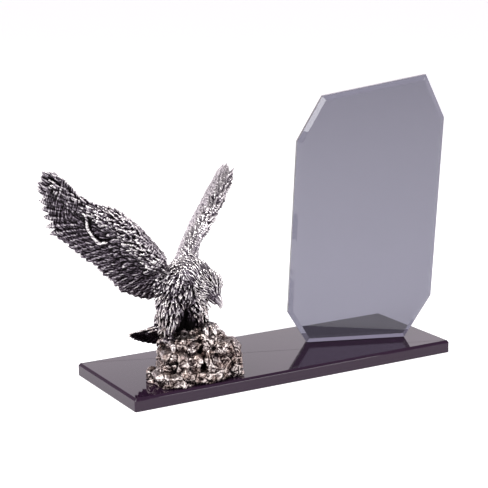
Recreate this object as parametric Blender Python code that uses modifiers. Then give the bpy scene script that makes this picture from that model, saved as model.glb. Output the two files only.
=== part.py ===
"""Eagle award: a cast eagle on its rock and an upright glass plaque, both on a black glass base.

Metres, +Z up. The origin is the middle of the base's underside, +X runs along the base's long
side towards the plaque's end, and -Y is the front.
"""

import math

import bmesh
import bpy
from mathutils import Matrix, Vector, noise

# Driving dimensions of the base
BASE_LENGTH = 0.280
BASE_WIDTH = 0.098
BASE_THICKNESS = 0.010
BASE_TOP_CHAMFER = 0.0022
BASE_ARRIS = 0.0005

# Clearance between two pieces that are glued face to face
SEAT_GAP = 0.0003

# Driving dimensions of the plaque, whose outline is walked from the left end of its foot
PLAQUE_THICKNESS = 0.006
PLAQUE_BEVEL_WIDTH = 0.0036
PLAQUE_BEVEL_DEPTH = 0.0020
PLAQUE_TURN = math.radians(-19.3)
PLAQUE_FOOT_MIDDLE = (0.0764, -0.0093)
PLAQUE_FOOT_LENGTH = 0.081
PLAQUE_SIDE_LEAN = math.radians(2.65)
PLAQUE_LEFT_SIDE = 0.1365
PLAQUE_RIGHT_SIDE = 0.1435
PLAQUE_LEFT_FOOT_CUT = (0.0155, 0.0250)
PLAQUE_RIGHT_FOOT_CUT = (0.0212, 0.0337)
PLAQUE_LEFT_TOP_CUT = (0.0198, 0.0347)
PLAQUE_RIGHT_TOP_CUT = (0.0158, 0.0338)

# Driving dimensions of the casting. The figure is carved in units that are shares of its height,
# from the rock's foot to the higher wing's tip, so that it keeps its pose at any size.
EAGLE_HEIGHT = 0.1650
EAGLE_UNITS_HIGH = 165.0
UNIT = EAGLE_HEIGHT / EAGLE_UNITS_HIGH
EAGLE_PLACE = (-0.0893, -0.0172)
EAGLE_FACING = math.radians(-66.0)
SKIN_GRAIN = 0.85 * UNIT
SKIN_TRIANGLES = 9200

# The wings, in units of the figure: its own frame has +X forwards, +Y to its left and +Z up
WING_CHORD = 42.0
WING_CAMBER = 4.0
CHORD_FALL = 0.69
WING_PLAN_LENGTH = 135.0
SECONDARY_COUNT = 12
TERTIAL_COUNT = 5

# Each wing's plan: (out from the shoulder, back from the sheet's front line), and for the bone also
# its lift and radius. The left wing's tip is spread wider than the right one's, its root narrower.
# Each covert row has its count, where it starts and ends behind the bone, its lift and the width
# of its feathers.
RIGHT_BONE = [(2, 2, -1.5, 7.2), (26, 1, 0.8, 7.4), (50, -1.5, 1.0, 6.4), (66, -1.5, 0.5, 5.2),
              (79, 3.4, 0.0, 3.6), (104, 6, 0.0, 2.4), (122, 4.5, 0.0, 1.8)]
RIGHT_PRIMARY_TIPS = [(133, -1.5), (137, 3), (134, 8.5), (130, 13.5), (124, 19.5), (117, 25),
                      (110, 29), (103, 33), (96, 36.5), (89, 40)]
RIGHT_SECONDARY_TIPS = [(82, 39.5), (70, 39), (56, 40), (44, 38), (30, 39.5), (12, 39)]
LEFT_BONE = [(2, -1, -2.0, 5.8), (26, 0, 0.5, 4.9), (50, -4.5, 0.8, 4.6), (74, -6, 0.8, 4.4),
             (96, -5.5, 0.5, 3.2), (118, -2, 0.0, 1.8)]
LEFT_PRIMARY_TIPS = [(121, -1), (134, 5), (143, 12), (150, 20), (159, 33), (147, 34), (134, 32),
                     (121, 30), (109, 28), (98, 27)]
LEFT_SECONDARY_TIPS = [(90, 28), (74, 29), (58, 28), (44, 26), (30, 25), (12, 23)]
RIGHT_TERTIAL_TIPS = [(8, 40), (-4, 37), (-13, 32)]
LEFT_TERTIAL_TIPS = [(8, 26), (-2, 26), (-10, 23)]
RIGHT_PRIMARY_ROOTS = [(98, 5), (58, 6)]
LEFT_PRIMARY_ROOTS = [(98, 0), (58, 4)]
SECONDARY_ROOTS = [(56, 4), (4, 7)]
TERTIAL_ROOTS = [(8, 8), (2, 8)]
LEFT_ROOT_NARROWING = 0.5
COVERT_ROWS = [(22, 12.5, 22.5, 1.3, 7.6), (20, 6.5, 15.5, 1.9, 7.2), (18, 1.5, 9.5, 2.5, 7.0),
               (16, -3.0, 4.5, 3.0, 6.6)]
UNDERWING_RIDGE = [(88, 4), (84, 8), (74, 16), (67, 19), (60, 20.5), (55, 20), (52, 15)]

RIDGE_LIFT = -3.2
RIDGE_RADIUS = 1.5

# Widths and thicknesses of the feathers, in units
PRIMARY_WIDTH = 8.6
SECONDARY_WIDTH = 9.4
TERTIAL_WIDTH = 11.0
FLIGHT_THICKNESS = 2.6
TERTIAL_THICKNESS = 3.0
COVERT_THICKNESS = 2.2
PLUME_THICKNESS = 1.8

# The body, in units: centres, radii and turns of its lumps, and the marks that its limbs follow
TRUNK = (3, 0, 68)
TRUNK_RADII = (21.5, 13.5, 14.0)
TRUNK_TURN = (0, -64, 0)
BACK = (-8, 0, 70)
BACK_RADII = (15, 11.5, 10)
BACK_TURN = (0, 20, 0)
RUMP = (-1, 0, 47)
RUMP_RADII = (10, 8.5, 14)
NECK = [(6, 0, 74), (15, -0.5, 79), (22.5, -1, 78.5), (28, -1.5, 74.5)]
NECK_RADII = [12, 11.0, 9.0, 7.8]
PLUME_RISE = 0.5
HEAD_SIDE = -2.0

# Hip, heel and foot of each leg
RIGHT_LEG = [(1, -8.5, 59), (-1, -10, 41), (1, -10, 27)]
LEFT_LEG = [(5, 7.5, 59), (13, 8.5, 47), (17, 8.5, 38)]
TOE_SPREAD = 38.0

TAIL_ROOT = (-5, 0, 37.8)
TAIL_END = (-42, 0, 17.6)
TAIL_ROLL = math.radians(28.0)

# The rock's blocks, along X and Y of the base: centre, half size and turn in degrees
ROCK_BLOCKS = [((8, -12, 4), (34, 16, 7), (0, 0, 0)),
               ((-2, -9, 11), (16, 14, 12), (0, 8, -25)),
               ((7, 0, 17), (17, 17, 17), (6, -4, 10)),
               ((26, -11, 13), (15.5, 17, 16), (0, 2, 0)),
               ((19, -8, 25), (12, 12, 11), (8, -4, 20))]
ROCK_SQUARENESS = 5
CRAG_STEP = 11.0
CRAG_DEPTH = 3.0


def clear_scene():
    """Remove what the file starts with."""
    for item in list(bpy.data.objects):
        bpy.data.objects.remove(item, do_unlink=True)


def make_material(name, colour, roughness, metallic, transmission=0.0):
    """Return a plain Principled material."""
    material = bpy.data.materials.new(name)
    material.use_nodes = True
    shader = material.node_tree.nodes["Principled BSDF"]
    shader.inputs["Base Color"].default_value = (*colour, 1.0)
    shader.inputs["Roughness"].default_value = roughness
    shader.inputs["Metallic"].default_value = metallic
    shader.inputs["Transmission Weight"].default_value = transmission
    material.diffuse_color = (*colour, 1.0)
    return material


def new_object(name, bm, collection, material):
    """Turn a bmesh into a named object and link it."""
    mesh = bpy.data.meshes.new(name)
    bm.to_mesh(mesh)
    bm.free()
    item = bpy.data.objects.new(name, mesh)
    item.data.materials.append(material)
    collection.objects.link(item)
    return item


def chamfer(bm, edges, width, segments=1):
    """Bevel the given edges by the same width on both sides."""
    bmesh.ops.bevel(bm, geom=edges, offset=width, offset_type="OFFSET", segments=segments,
                    profile=0.5, affect="EDGES", material=-1, clamp_overlap=True)


# The base

def build_base(collection, material):
    """A polished slab with a wide chamfer round its top and fine arrises elsewhere."""
    bm = bmesh.new()
    bmesh.ops.create_cube(bm, size=1.0)
    bmesh.ops.scale(bm, vec=(BASE_LENGTH, BASE_WIDTH, BASE_THICKNESS), verts=bm.verts)
    bmesh.ops.translate(bm, vec=(0.0, 0.0, BASE_THICKNESS / 2), verts=bm.verts)
    middle = BASE_THICKNESS / 2
    corners = [e for e in bm.edges if abs(e.verts[0].co.z - e.verts[1].co.z) > middle]
    chamfer(bm, corners, BASE_ARRIS * 2)
    top = [e for e in bm.edges if all(v.co.z > BASE_THICKNESS - BASE_ARRIS / 2 for v in e.verts)]
    chamfer(bm, top, BASE_TOP_CHAMFER)
    foot = [e for e in bm.edges if all(v.co.z < BASE_ARRIS / 2 for v in e.verts)]
    chamfer(bm, foot, BASE_ARRIS)
    return new_object("base_plate", bm, collection, material)


# The plaque

def plaque_outline():
    """The plaque's corners in its own plane, walked anticlockwise from the foot's left end."""
    lean = math.tan(PLAQUE_SIDE_LEAN)
    left = -PLAQUE_FOOT_LENGTH / 2
    right = PLAQUE_FOOT_LENGTH / 2
    right_low = Vector((right + PLAQUE_RIGHT_FOOT_CUT[0], PLAQUE_RIGHT_FOOT_CUT[1]))
    right_high = right_low + Vector((PLAQUE_RIGHT_SIDE * lean, PLAQUE_RIGHT_SIDE))
    top_right = right_high + Vector((-PLAQUE_RIGHT_TOP_CUT[0], PLAQUE_RIGHT_TOP_CUT[1]))
    left_low = Vector((left - PLAQUE_LEFT_FOOT_CUT[0], PLAQUE_LEFT_FOOT_CUT[1]))
    left_high = left_low + Vector((PLAQUE_LEFT_SIDE * lean, PLAQUE_LEFT_SIDE))
    top_left = left_high + Vector(PLAQUE_LEFT_TOP_CUT)
    foot_left = Vector((left, 0.0))
    foot_right = Vector((right, 0.0))
    return [foot_left, foot_right, right_low, right_high, top_right, top_left, left_high, left_low]


def build_plaque(collection, material):
    """An eight-sided plate of glass on edge, with a wide facet ground round its front face."""
    bm = bmesh.new()
    face = bm.faces.new([bm.verts.new((p.x, 0.0, p.y)) for p in plaque_outline()])
    back = bmesh.ops.extrude_face_region(bm, geom=[face])["geom"]
    depth = PLAQUE_THICKNESS - PLAQUE_BEVEL_DEPTH
    bmesh.ops.translate(bm, vec=(0.0, depth, 0.0),
                        verts=[v for v in back if isinstance(v, bmesh.types.BMVert)])
    front = [f for f in bm.faces if all(v.co.y < depth / 2 for v in f.verts)]
    bmesh.ops.inset_region(bm, faces=front, thickness=PLAQUE_BEVEL_WIDTH,
                           depth=0.0, use_even_offset=True)
    bmesh.ops.translate(bm, vec=(0.0, -PLAQUE_BEVEL_DEPTH, 0.0),
                        verts=list({v for f in front for v in f.verts}))
    bmesh.ops.recalc_face_normals(bm, faces=bm.faces)
    item = new_object("glass_plaque", bm, collection, material)
    item.location = (*PLAQUE_FOOT_MIDDLE, BASE_THICKNESS + SEAT_GAP)
    item.rotation_euler = (0.0, 0.0, PLAQUE_TURN)
    return item


# Forms that the figure is carved from

def add_form(bm, form):
    """Add a small form, made in a bmesh of its own, to the figure's bmesh."""
    mesh = bpy.data.meshes.new("form")
    form.to_mesh(mesh)
    form.free()
    bm.from_mesh(mesh)
    bpy.data.meshes.remove(mesh)


def unit_ball(sides, rings):
    """A ball of radius 1 in a bmesh of its own, its poles on Z."""
    form = bmesh.new()
    bmesh.ops.create_uvsphere(form, u_segments=sides, v_segments=rings, radius=1.0)
    return form


def add_lump(bm, centre, radii, turn=(0.0, 0.0, 0.0), sides=20):
    """Add an ellipsoid, its radii in units and its turn in degrees about X, Y and Z."""
    form = unit_ball(sides, sides // 2)
    place = Matrix.LocRotScale(Vector(centre), euler(turn), Vector(radii))
    bmesh.ops.transform(form, matrix=place, verts=form.verts)
    add_form(bm, form)


def euler(turn):
    """A rotation matrix from degrees about X, Y and Z."""
    x, y, z = (math.radians(angle) for angle in turn)
    return Matrix.Rotation(z, 3, "Z") @ Matrix.Rotation(y, 3, "Y") @ Matrix.Rotation(x, 3, "X")


def curve_at(points, share):
    """A point on the smooth curve through the given points, at a share of the way along."""
    spans = len(points) - 1
    span = min(int(share * spans), spans - 1)
    local = share * spans - span
    before = points[max(span - 1, 0)]
    start = points[span]
    end = points[span + 1]
    after = points[min(span + 2, spans)]
    return 0.5 * (2.0 * start + (end - before) * local
                  + (2.0 * before - 5.0 * start + 4.0 * end - after) * local ** 2
                  + (3.0 * start - before - 3.0 * end + after) * local ** 3)


def add_limb(bm, points, radii, rings=14, sides=12):
    """Add a round limb along a smooth curve, its thickness following the radii, ends rounded."""
    path = [Vector(point) for point in points]
    sizes = [Vector((radius, 0.0, 0.0)) for radius in radii]
    form = unit_ball(sides, rings)
    for vert in form.verts:
        share = min(max((1.0 - vert.co.z) / 2.0, 0.0), 1.0)
        ahead = curve_at(path, min(share + 0.02, 1.0)) - curve_at(path, max(share - 0.02, 0.0))
        steep = abs(ahead.normalized().z) > 0.9
        across = ahead.cross(Vector((1.0, 0.0, 0.0) if steep else (0.0, 0.0, 1.0))).normalized()
        upward = across.cross(ahead).normalized()
        reach = math.hypot(vert.co.x, vert.co.y)
        flat = Vector((vert.co.x, vert.co.y)) / max(reach, 1e-6)
        swell = curve_at(sizes, share).x * min(1.0, 1.6 * reach)
        vert.co = curve_at(path, share) + (across * flat.x + upward * flat.y) * swell
    add_form(bm, form)


def blade_width(share, point):
    """A feather's half width as a share of its widest, round at the root and drawn to a tip."""
    root = min(1.0, (share / 0.22) ** 0.6) if share > 0.0 else 0.0
    tip = max(0.0, 1.0 - max(0.0, (share - point) / (1.0 - point)) ** 2.2) ** 0.6
    return root * tip


def add_blade(bm, place, length, width, thickness, sides=8, rings=7, point=0.62):
    """Add one feather as a closed blade; place(along, across, lift) gives each vertex its spot."""
    form = unit_ball(sides, rings)
    for vert in form.verts:
        share = (1.0 + vert.co.z) / 2.0
        reach = math.hypot(vert.co.x, vert.co.y)
        flat = Vector((vert.co.x, vert.co.y)) / max(reach, 1e-6)
        half = blade_width(share, point) * width / 2.0
        lift = flat.y * thickness / 2.0 * (1.0 - 0.45 * abs(flat.x)) * min(1.0, 2.0 * reach)
        vert.co = place(share * length, flat.x * half, lift)
    add_form(bm, form)


# The wings

class Wing:
    """A raised wing: a cambered sheet in which feathers are laid by their place on it."""

    def __init__(self, side, shoulder, tip, bow, bone, roots, tips, narrowing=0.0):
        """Set the sheet from the shoulder to the tip, on the left (side 1) or the right (-1).
        The bow is how far the middle of the span rises above a straight line, the roots are the
        primaries', the tips those of the primaries, secondaries and tertials, and the narrowing
        is the share by which the covert rows draw together at the shoulder."""
        self.bow = bow
        self.bone = bone
        self.primary_roots = roots
        self.primary_tips, self.secondary_tips, self.tertial_tips = tips
        self.narrowing = narrowing
        self.shoulder = Vector(shoulder)
        reach = Vector(tip) - self.shoulder
        self.length = reach.length
        self.span = reach.normalized()
        fall = Vector((-math.sqrt(1.0 - CHORD_FALL ** 2), 0.0, -CHORD_FALL))
        self.upper = (self.span.cross(fall) * side).normalized()
        self.chord = (fall - self.span * fall.dot(self.span)).normalized()

    def at(self, out, back, lift):
        """The spot on the wing at a distance out from the shoulder and back from the front edge."""
        along = min(max(out / self.length, 0.0), 1.0)
        deep = back / WING_CHORD
        arch = WING_CAMBER * (1.0 - (2.0 * deep - 0.7) ** 2)
        bow = self.bow * math.sin(math.pi * along)
        return (self.shoulder + self.span * out + self.chord * back
                + self.upper * (arch + bow + lift))

    def lay(self, bm, root, tip, width, thickness, lifts, roll=0.10, **shape):
        """Lay one feather from its root to its tip, both given as (out, back)."""
        start = Vector(root)
        way = Vector(tip) - start
        length = way.length
        way.normalize()
        aside = Vector((-way.y, way.x))

        def place(along, across, lift):
            spot = start + way * along + aside * across
            raised = lifts[0] + (lifts[1] - lifts[0]) * along / length
            return self.at(spot.x, spot.y, raised + lift - across * roll)

        add_blade(bm, place, length, width, thickness, **shape)


def bone_at(bone, out):
    """The bone's place back from the front line and its radius, at a distance out on the plan."""
    for start, end in zip(bone, bone[1:]):
        if out <= end[0]:
            share = (out - start[0]) / (end[0] - start[0])
            return start[1] + (end[1] - start[1]) * share, start[3] + (end[3] - start[3]) * share
    return bone[-1][1], bone[-1][3]


def outline_at(marks, share):
    """A spot on a broken line of (out, back) marks, at a share of its length."""
    spots = [Vector(mark) for mark in marks]
    lengths = [(b - a).length for a, b in zip(spots, spots[1:])]
    left = share * sum(lengths)
    for start, end, length in zip(spots, spots[1:], lengths):
        if left <= length:
            return start.lerp(end, left / length)
        left -= length
    return spots[-1]


def add_wing(bm, wing):
    """Carve one wing: its bone along the front edge, the flight feathers and the covert rows."""
    size = wing.length / WING_PLAN_LENGTH
    add_limb(bm, [wing.at(out * size, back, lift) for out, back, lift, _ in wing.bone],
             [radius for *_, radius in wing.bone], rings=22)

    for index, (tip_out, tip_back) in enumerate(wing.primary_tips):
        root = outline_at(wing.primary_roots, index / (len(wing.primary_tips) - 1))
        wing.lay(bm, (root.x * size, root.y), (tip_out * size, tip_back), PRIMARY_WIDTH,
                 FLIGHT_THICKNESS, (0.0, -0.6), roll=0.16, point=0.55)

    for index in range(SECONDARY_COUNT):
        share = index / (SECONDARY_COUNT - 1)
        tip = outline_at(wing.secondary_tips, share)
        root = outline_at(SECONDARY_ROOTS, share)
        wing.lay(bm, (root.x * size, root.y), (tip.x * size, tip.y), SECONDARY_WIDTH,
                 FLIGHT_THICKNESS, (0.0, -0.4), roll=0.16, point=0.66)

    for index in range(TERTIAL_COUNT):
        share = index / (TERTIAL_COUNT - 1)
        wing.lay(bm, outline_at(TERTIAL_ROOTS, share), outline_at(wing.tertial_tips, share),
                 TERTIAL_WIDTH, TERTIAL_THICKNESS, (0.0, 0.0), roll=0.12, point=0.66)

    for count, start, end, lift, width in COVERT_ROWS:
        for face in (1.0, -1.0):
            for index in range(count):
                share = (index + 0.5) / count
                out = 4.0 + 108.0 * share
                taper = 1.0 - 0.45 * share ** 2 - wing.narrowing * (1.0 - share) ** 3
                edge, thick = bone_at(wing.bone, out)
                buried = max(lift * 0.5, 0.9 * math.sqrt(max(thick ** 2 - start ** 2, 0.0)))
                wing.lay(bm, (out * size, start * taper + edge),
                         ((out + 3.0 + 12.0 * share) * size, end * taper + edge), width,
                         COVERT_THICKNESS, (face * buried, face * (lift + 0.5)),
                         roll=0.10 * face, point=0.6)

    ridge = [wing.at(out * size, back, RIDGE_LIFT) for out, back in UNDERWING_RIDGE]
    add_limb(bm, ridge, [RIDGE_RADIUS] * len(ridge), rings=30, sides=8)


# The body

def add_plumage(bm, centre, radii, turn, flow, rows, length, width):
    """Lay rows of short feathers over an ellipsoid, all pointing along the flow."""
    axes = euler(turn)
    towards = Vector(flow).normalized()
    for row, (tilt, count) in enumerate(rows):
        for index in range(count):
            around = 2.0 * math.pi * (index + 0.5 * (row % 2)) / count
            polar = math.radians(tilt)
            unit = Vector((math.cos(polar), math.sin(polar) * math.cos(around),
                           math.sin(polar) * math.sin(around)))
            spot = Vector(centre) + axes @ Vector([u * r for u, r in zip(unit, radii)])
            normal = (axes @ Vector([u / r for u, r in zip(unit, radii)])).normalized()
            way = (towards - normal * towards.dot(normal)).normalized()
            aside = normal.cross(way)

            def place(along, across, lift, spot=spot, normal=normal, way=way, aside=aside):
                rise = 0.10 * along - 0.5
                return spot + way * along + aside * across + normal * (lift + rise)

            add_blade(bm, place, length, width, PLUME_THICKNESS, sides=6, rings=5, point=0.5)


def add_body(bm):
    """The trunk, back and neck, leaning forwards, under rows of short feathers."""
    add_lump(bm, TRUNK, TRUNK_RADII, TRUNK_TURN)
    add_lump(bm, BACK, BACK_RADII, BACK_TURN)
    add_lump(bm, RUMP, RUMP_RADII)
    add_limb(bm, NECK, NECK_RADII)
    add_plumage(bm, TRUNK, [radius + PLUME_RISE for radius in TRUNK_RADII], TRUNK_TURN,
                (-0.3, 0, -1),
                [(28, 9), (46, 13), (64, 16), (82, 16), (100, 16), (118, 14), (138, 10)],
                9.0, 6.5)
    add_plumage(bm, BACK, [radius + PLUME_RISE for radius in BACK_RADII], BACK_TURN,
                (-1, 0, -0.3),
                [(30, 7), (55, 11), (80, 13), (105, 13), (130, 10), (152, 6)], 9.0, 6.5)
    add_plumage(bm, (16, -0.5, 78), (10.5, 10.5, 10), (0, 8, 0), (-1, 0, -0.25),
                [(62, 13), (88, 14), (114, 12)], 8.0, 4.5)


def add_head(bm):
    """The skull with its brow ridges, the hooked beak and the eyes."""
    add_lump(bm, (30.6, HEAD_SIDE, 73.8), (9.8, 7.2, 7.8), (0, 46, 0))
    add_lump(bm, (33.6, HEAD_SIDE, 69.5), (8.0, 5.2, 5.8), (0, 62, 0))
    beak = [(34, HEAD_SIDE, 68), (38, HEAD_SIDE, 65), (40.6, HEAD_SIDE, 61.2),
            (41.2, HEAD_SIDE, 58)]
    add_limb(bm, beak, [4.3, 3.6, 2.2, 1.0])
    jaw = [(32.5, HEAD_SIDE, 65.5), (35.5, HEAD_SIDE, 62.6), (37.2, HEAD_SIDE, 60.6)]
    add_limb(bm, jaw, [3.4, 2.4, 1.2])
    for side in (1.0, -1.0):
        brow = [(28.5, HEAD_SIDE + side * 4.8, 77.4), (33.5, HEAD_SIDE + side * 5.0, 74.0),
                (36.6, HEAD_SIDE + side * 3.4, 69.6)]
        add_limb(bm, brow, [1.3, 1.5, 1.1])
        add_lump(bm, (33.2, HEAD_SIDE + side * 5.0, 71.4), (1.5, 1.5, 1.5), sides=10)


def add_leg(bm, hip, heel, foot, side):
    """A feathered thigh, the bare shank and a foot whose talons grip the rock."""
    hip, heel, foot = Vector(hip), Vector(heel), Vector(foot)
    add_limb(bm, [hip, hip.lerp(heel, 0.5) + Vector((1.5, side * 1.0, 0)), heel],
             [9.5, 7.8, 4.4])
    add_limb(bm, [heel, heel.lerp(foot, 0.5), foot], [3.8, 3.0, 3.2])
    add_plumage(bm, hip.lerp(heel, 0.35), (9.2, 9.2, 14.0), (0, 0, 0), (0, 0, -1),
                [(40, 7), (68, 9), (92, 10), (118, 9)], 8.5, 6.0)
    for spread in (-TOE_SPREAD, 0.0, TOE_SPREAD, 180.0):
        turn = Matrix.Rotation(math.radians(spread), 3, "Z")
        toe = [(0, 0, 0), (4.5, 0, 1.8), (8.8, 0, 0.6), (11.2, 0, -2.2), (11.6, 0, -4.6)]
        add_limb(bm, [foot + turn @ Vector(point) for point in toe], [2.6, 2.3, 2.0, 1.4, 0.6],
                 rings=10, sides=8)


def add_tail(bm):
    """The fanned tail, carried low behind the rock."""
    root = Vector(TAIL_ROOT)
    way = (Vector(TAIL_END) - root).normalized()
    aside = Vector((0, 1, 0))
    aside.rotate(Matrix.Rotation(TAIL_ROLL, 3, way))
    upper = aside.cross(way)
    add_lump(bm, (-7, 0, 44), (12, 8, 7), (0, -35, 0))
    for row, (count, reach, spread, width, lift) in enumerate(
            [(9, 38.0, 21.0, 7.4, 0.0), (7, 24.0, 16.0, 6.6, 1.6)]):
        for index in range(count):
            offset = 2.0 * index / (count - 1) - 1.0
            angle = math.radians(spread * offset)
            line = way * math.cos(angle) + aside * math.sin(angle)
            cross = aside * math.cos(angle) - way * math.sin(angle)
            length = reach * (1.0 - 0.10 * offset * offset)
            for face in ((1.0, -1.0) if row else (1.0,)):
                rise = face * lift - 1.2 * abs(offset)

                def place(along, across, high, line=line, cross=cross, rise=rise, offset=offset):
                    return (root + line * along + cross * (across + 2.5 * offset)
                            + upper * (high + rise - across * 0.12 * (1 if offset >= 0 else -1)))

                add_blade(bm, place, length, width, FLIGHT_THICKNESS, point=0.7)


# The rock

def roughen(form, step, depth, seed):
    """Push a boulder's surface in and out along its normals into broken facets."""
    form.normal_update()
    moves = []
    for vert in form.verts:
        spot = vert.co / step + Vector((seed, seed * 0.7, seed * 1.3))
        broad = noise.noise(spot) + 0.5 * noise.noise(spot * 2.1)
        crag = abs(noise.noise(spot * 1.6 + Vector((5.0, 3.0, 1.0))))
        moves.append(vert.normal * depth * (broad + 0.8 * crag - 0.2))
    for vert, move in zip(form.verts, moves):
        vert.co += move


def add_boulder(bm, centre, size, turn, seed):
    """Add one block of the rock: a ball squared towards a box, turned and roughened."""
    form = bmesh.new()
    bmesh.ops.create_icosphere(form, subdivisions=4, radius=1.0)
    for vert in form.verts:
        power = sum(abs(part) ** ROCK_SQUARENESS for part in vert.co)
        vert.co = vert.co / power ** (1.0 / ROCK_SQUARENESS)
    place = Matrix.LocRotScale(Vector(centre), euler(turn), Vector(size))
    bmesh.ops.transform(form, matrix=place, verts=form.verts)
    roughen(form, CRAG_STEP, CRAG_DEPTH, seed)
    square = Matrix.Rotation(-EAGLE_FACING, 3, "Z")
    bmesh.ops.rotate(form, cent=(0, 0, 0), matrix=square, verts=form.verts)
    add_form(bm, form)


def add_rock(bm):
    """The rock, laid square with the base: a broad foot, a step under the near foot and a
    taller part under the far foot."""
    for index, (centre, size, turn) in enumerate(ROCK_BLOCKS):
        add_boulder(bm, centre, size, turn, 1.7 * index + 0.3)


def sculpt_eagle():
    """Every form of the casting in one bmesh, in units of the figure."""
    bm = bmesh.new()
    add_rock(bm)
    add_body(bm)
    add_head(bm)
    add_leg(bm, *RIGHT_LEG, -1.0)
    add_leg(bm, *LEFT_LEG, 1.0)
    add_tail(bm)
    add_wing(bm, Wing(-1.0, (3, -12, 81), (-29, -102, 164), 2.5, RIGHT_BONE, RIGHT_PRIMARY_ROOTS,
                      (RIGHT_PRIMARY_TIPS, RIGHT_SECONDARY_TIPS, RIGHT_TERTIAL_TIPS)))
    add_wing(bm, Wing(1.0, (1.5, 9.5, 80), (-27, 110, 140), 2.0, LEFT_BONE, LEFT_PRIMARY_ROOTS,
                      (LEFT_PRIMARY_TIPS, LEFT_SECONDARY_TIPS, LEFT_TERTIAL_TIPS),
                      LEFT_ROOT_NARROWING))
    return bm


def keep_outer_shell(bm):
    """Delete every loose shell but the largest one."""
    left = set(bm.faces)
    shells = []
    while left:
        queue = [left.pop()]
        shell = set(queue)
        while queue:
            face = queue.pop()
            for edge in face.edges:
                for near in edge.link_faces:
                    if near in left:
                        left.discard(near)
                        shell.add(near)
                        queue.append(near)
        shells.append(shell)
    shells.sort(key=len)
    spare = [face for shell in shells[:-1] for face in shell]
    bmesh.ops.delete(bm, geom=spare, context="FACES")


def evaluated_bmesh(item):
    """The item's mesh with its modifiers, as a new bmesh."""
    graph = bpy.context.evaluated_depsgraph_get()
    graph.update()
    mesh = bpy.data.meshes.new_from_object(item.evaluated_get(graph))
    bm = bmesh.new()
    bm.from_mesh(mesh)
    bpy.data.meshes.remove(mesh)
    return bm


def build_eagle(collection, material):
    """Fuse the figure's forms into one skin, thin its facets and cut its foot flat."""
    bm = sculpt_eagle()
    bmesh.ops.scale(bm, vec=(UNIT, UNIT, UNIT), verts=bm.verts)
    bmesh.ops.rotate(bm, cent=(0, 0, 0), matrix=Matrix.Rotation(EAGLE_FACING, 3, "Z"),
                     verts=bm.verts)
    seat = Vector((*EAGLE_PLACE, BASE_THICKNESS + SEAT_GAP))
    bmesh.ops.translate(bm, vec=seat, verts=bm.verts)
    rough = new_object("eagle_forms", bm, collection, material)
    remesh = rough.modifiers.new("one_skin", "REMESH")
    remesh.mode = "VOXEL"
    remesh.voxel_size = SKIN_GRAIN
    bm = evaluated_bmesh(rough)
    keep_outer_shell(bm)
    skin = new_object("eagle_casting", bm, collection, material)
    mesh = rough.data
    bpy.data.objects.remove(rough, do_unlink=True)
    bpy.data.meshes.remove(mesh)

    triangles = sum(len(face.vertices) - 2 for face in skin.data.polygons)
    thin = skin.modifiers.new("thin", "DECIMATE")
    thin.ratio = SKIN_TRIANGLES / triangles
    bm = evaluated_bmesh(skin)
    bmesh.ops.bisect_plane(bm, geom=list(bm.verts) + list(bm.edges) + list(bm.faces),
                           plane_co=seat, plane_no=(0, 0, -1), clear_outer=True)
    rim = [edge for edge in bm.edges if edge.is_boundary]
    bmesh.ops.holes_fill(bm, edges=rim)
    skin.modifiers.clear()
    bm.to_mesh(skin.data)
    bm.free()
    return skin


def main():
    """Build the three pieces."""
    clear_scene()
    collection = bpy.data.collections.new("eagle_trophy")
    bpy.context.scene.collection.children.link(collection)
    black_glass = make_material("black_glass", (0.012, 0.009, 0.012), 0.06, 0.0)
    smoked_glass = make_material("smoked_glass", (0.30, 0.30, 0.34), 0.02, 0.0, 0.9)
    antique_silver = make_material("antique_silver", (0.45, 0.42, 0.41), 0.38, 1.0)
    build_base(collection, black_glass)
    build_plaque(collection, smoked_glass)
    build_eagle(collection, antique_silver)


main()
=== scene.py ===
"""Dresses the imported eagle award: a cast eagle on its rock, a smoked glass plaque and a glass base.

Metres, +Z up, in the frame of the CAD model. The figure is carved in units of its own frame, which
has +X forwards, +Y to the bird's left and +Z up from the top of the base.
"""

import logging
import math
import random
from collections.abc import Callable, Sequence
from dataclasses import dataclass, field
from enum import Enum

import bmesh
import bpy
import numpy as np
from mathutils import Matrix, Vector, noise


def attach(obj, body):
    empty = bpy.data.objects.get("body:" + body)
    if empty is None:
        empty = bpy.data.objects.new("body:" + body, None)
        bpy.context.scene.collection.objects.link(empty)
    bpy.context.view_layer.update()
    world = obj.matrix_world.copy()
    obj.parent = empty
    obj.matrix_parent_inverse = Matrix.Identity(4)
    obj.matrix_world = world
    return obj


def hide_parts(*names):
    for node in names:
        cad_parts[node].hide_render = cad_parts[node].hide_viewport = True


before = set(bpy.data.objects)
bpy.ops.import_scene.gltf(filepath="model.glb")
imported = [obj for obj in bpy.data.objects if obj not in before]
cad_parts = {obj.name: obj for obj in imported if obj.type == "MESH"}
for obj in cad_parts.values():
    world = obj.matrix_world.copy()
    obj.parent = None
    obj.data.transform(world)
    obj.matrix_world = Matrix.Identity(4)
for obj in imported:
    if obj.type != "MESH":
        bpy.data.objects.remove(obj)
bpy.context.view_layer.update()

LOG = logging.getLogger("eagle_trophy")
MM = 0.001
FACING = math.radians(-66.0)

Place = Callable[[np.ndarray, np.ndarray, np.ndarray], np.ndarray]
Triple = tuple[float, float, float]
Pair = tuple[float, float]


class Bird(Enum):
    """The two sides of the bird."""

    LEFT = 1.0
    RIGHT = -1.0


# Nodes and colours

def linear(colour: str) -> tuple[float, float, float, float]:
    """Turn an sRGB hex colour into linear light.

    Args:
        colour: Six hex digits after a hash sign.

    Returns:
        Red, green, blue and an alpha of 1.
    """
    parts = [int(colour[start:start + 2], 16) / 255.0 for start in (1, 3, 5)]
    light = [part / 12.92 if part <= 0.04045 else ((part + 0.055) / 1.055) ** 2.4 for part in parts]
    return (*light, 1.0)


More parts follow.
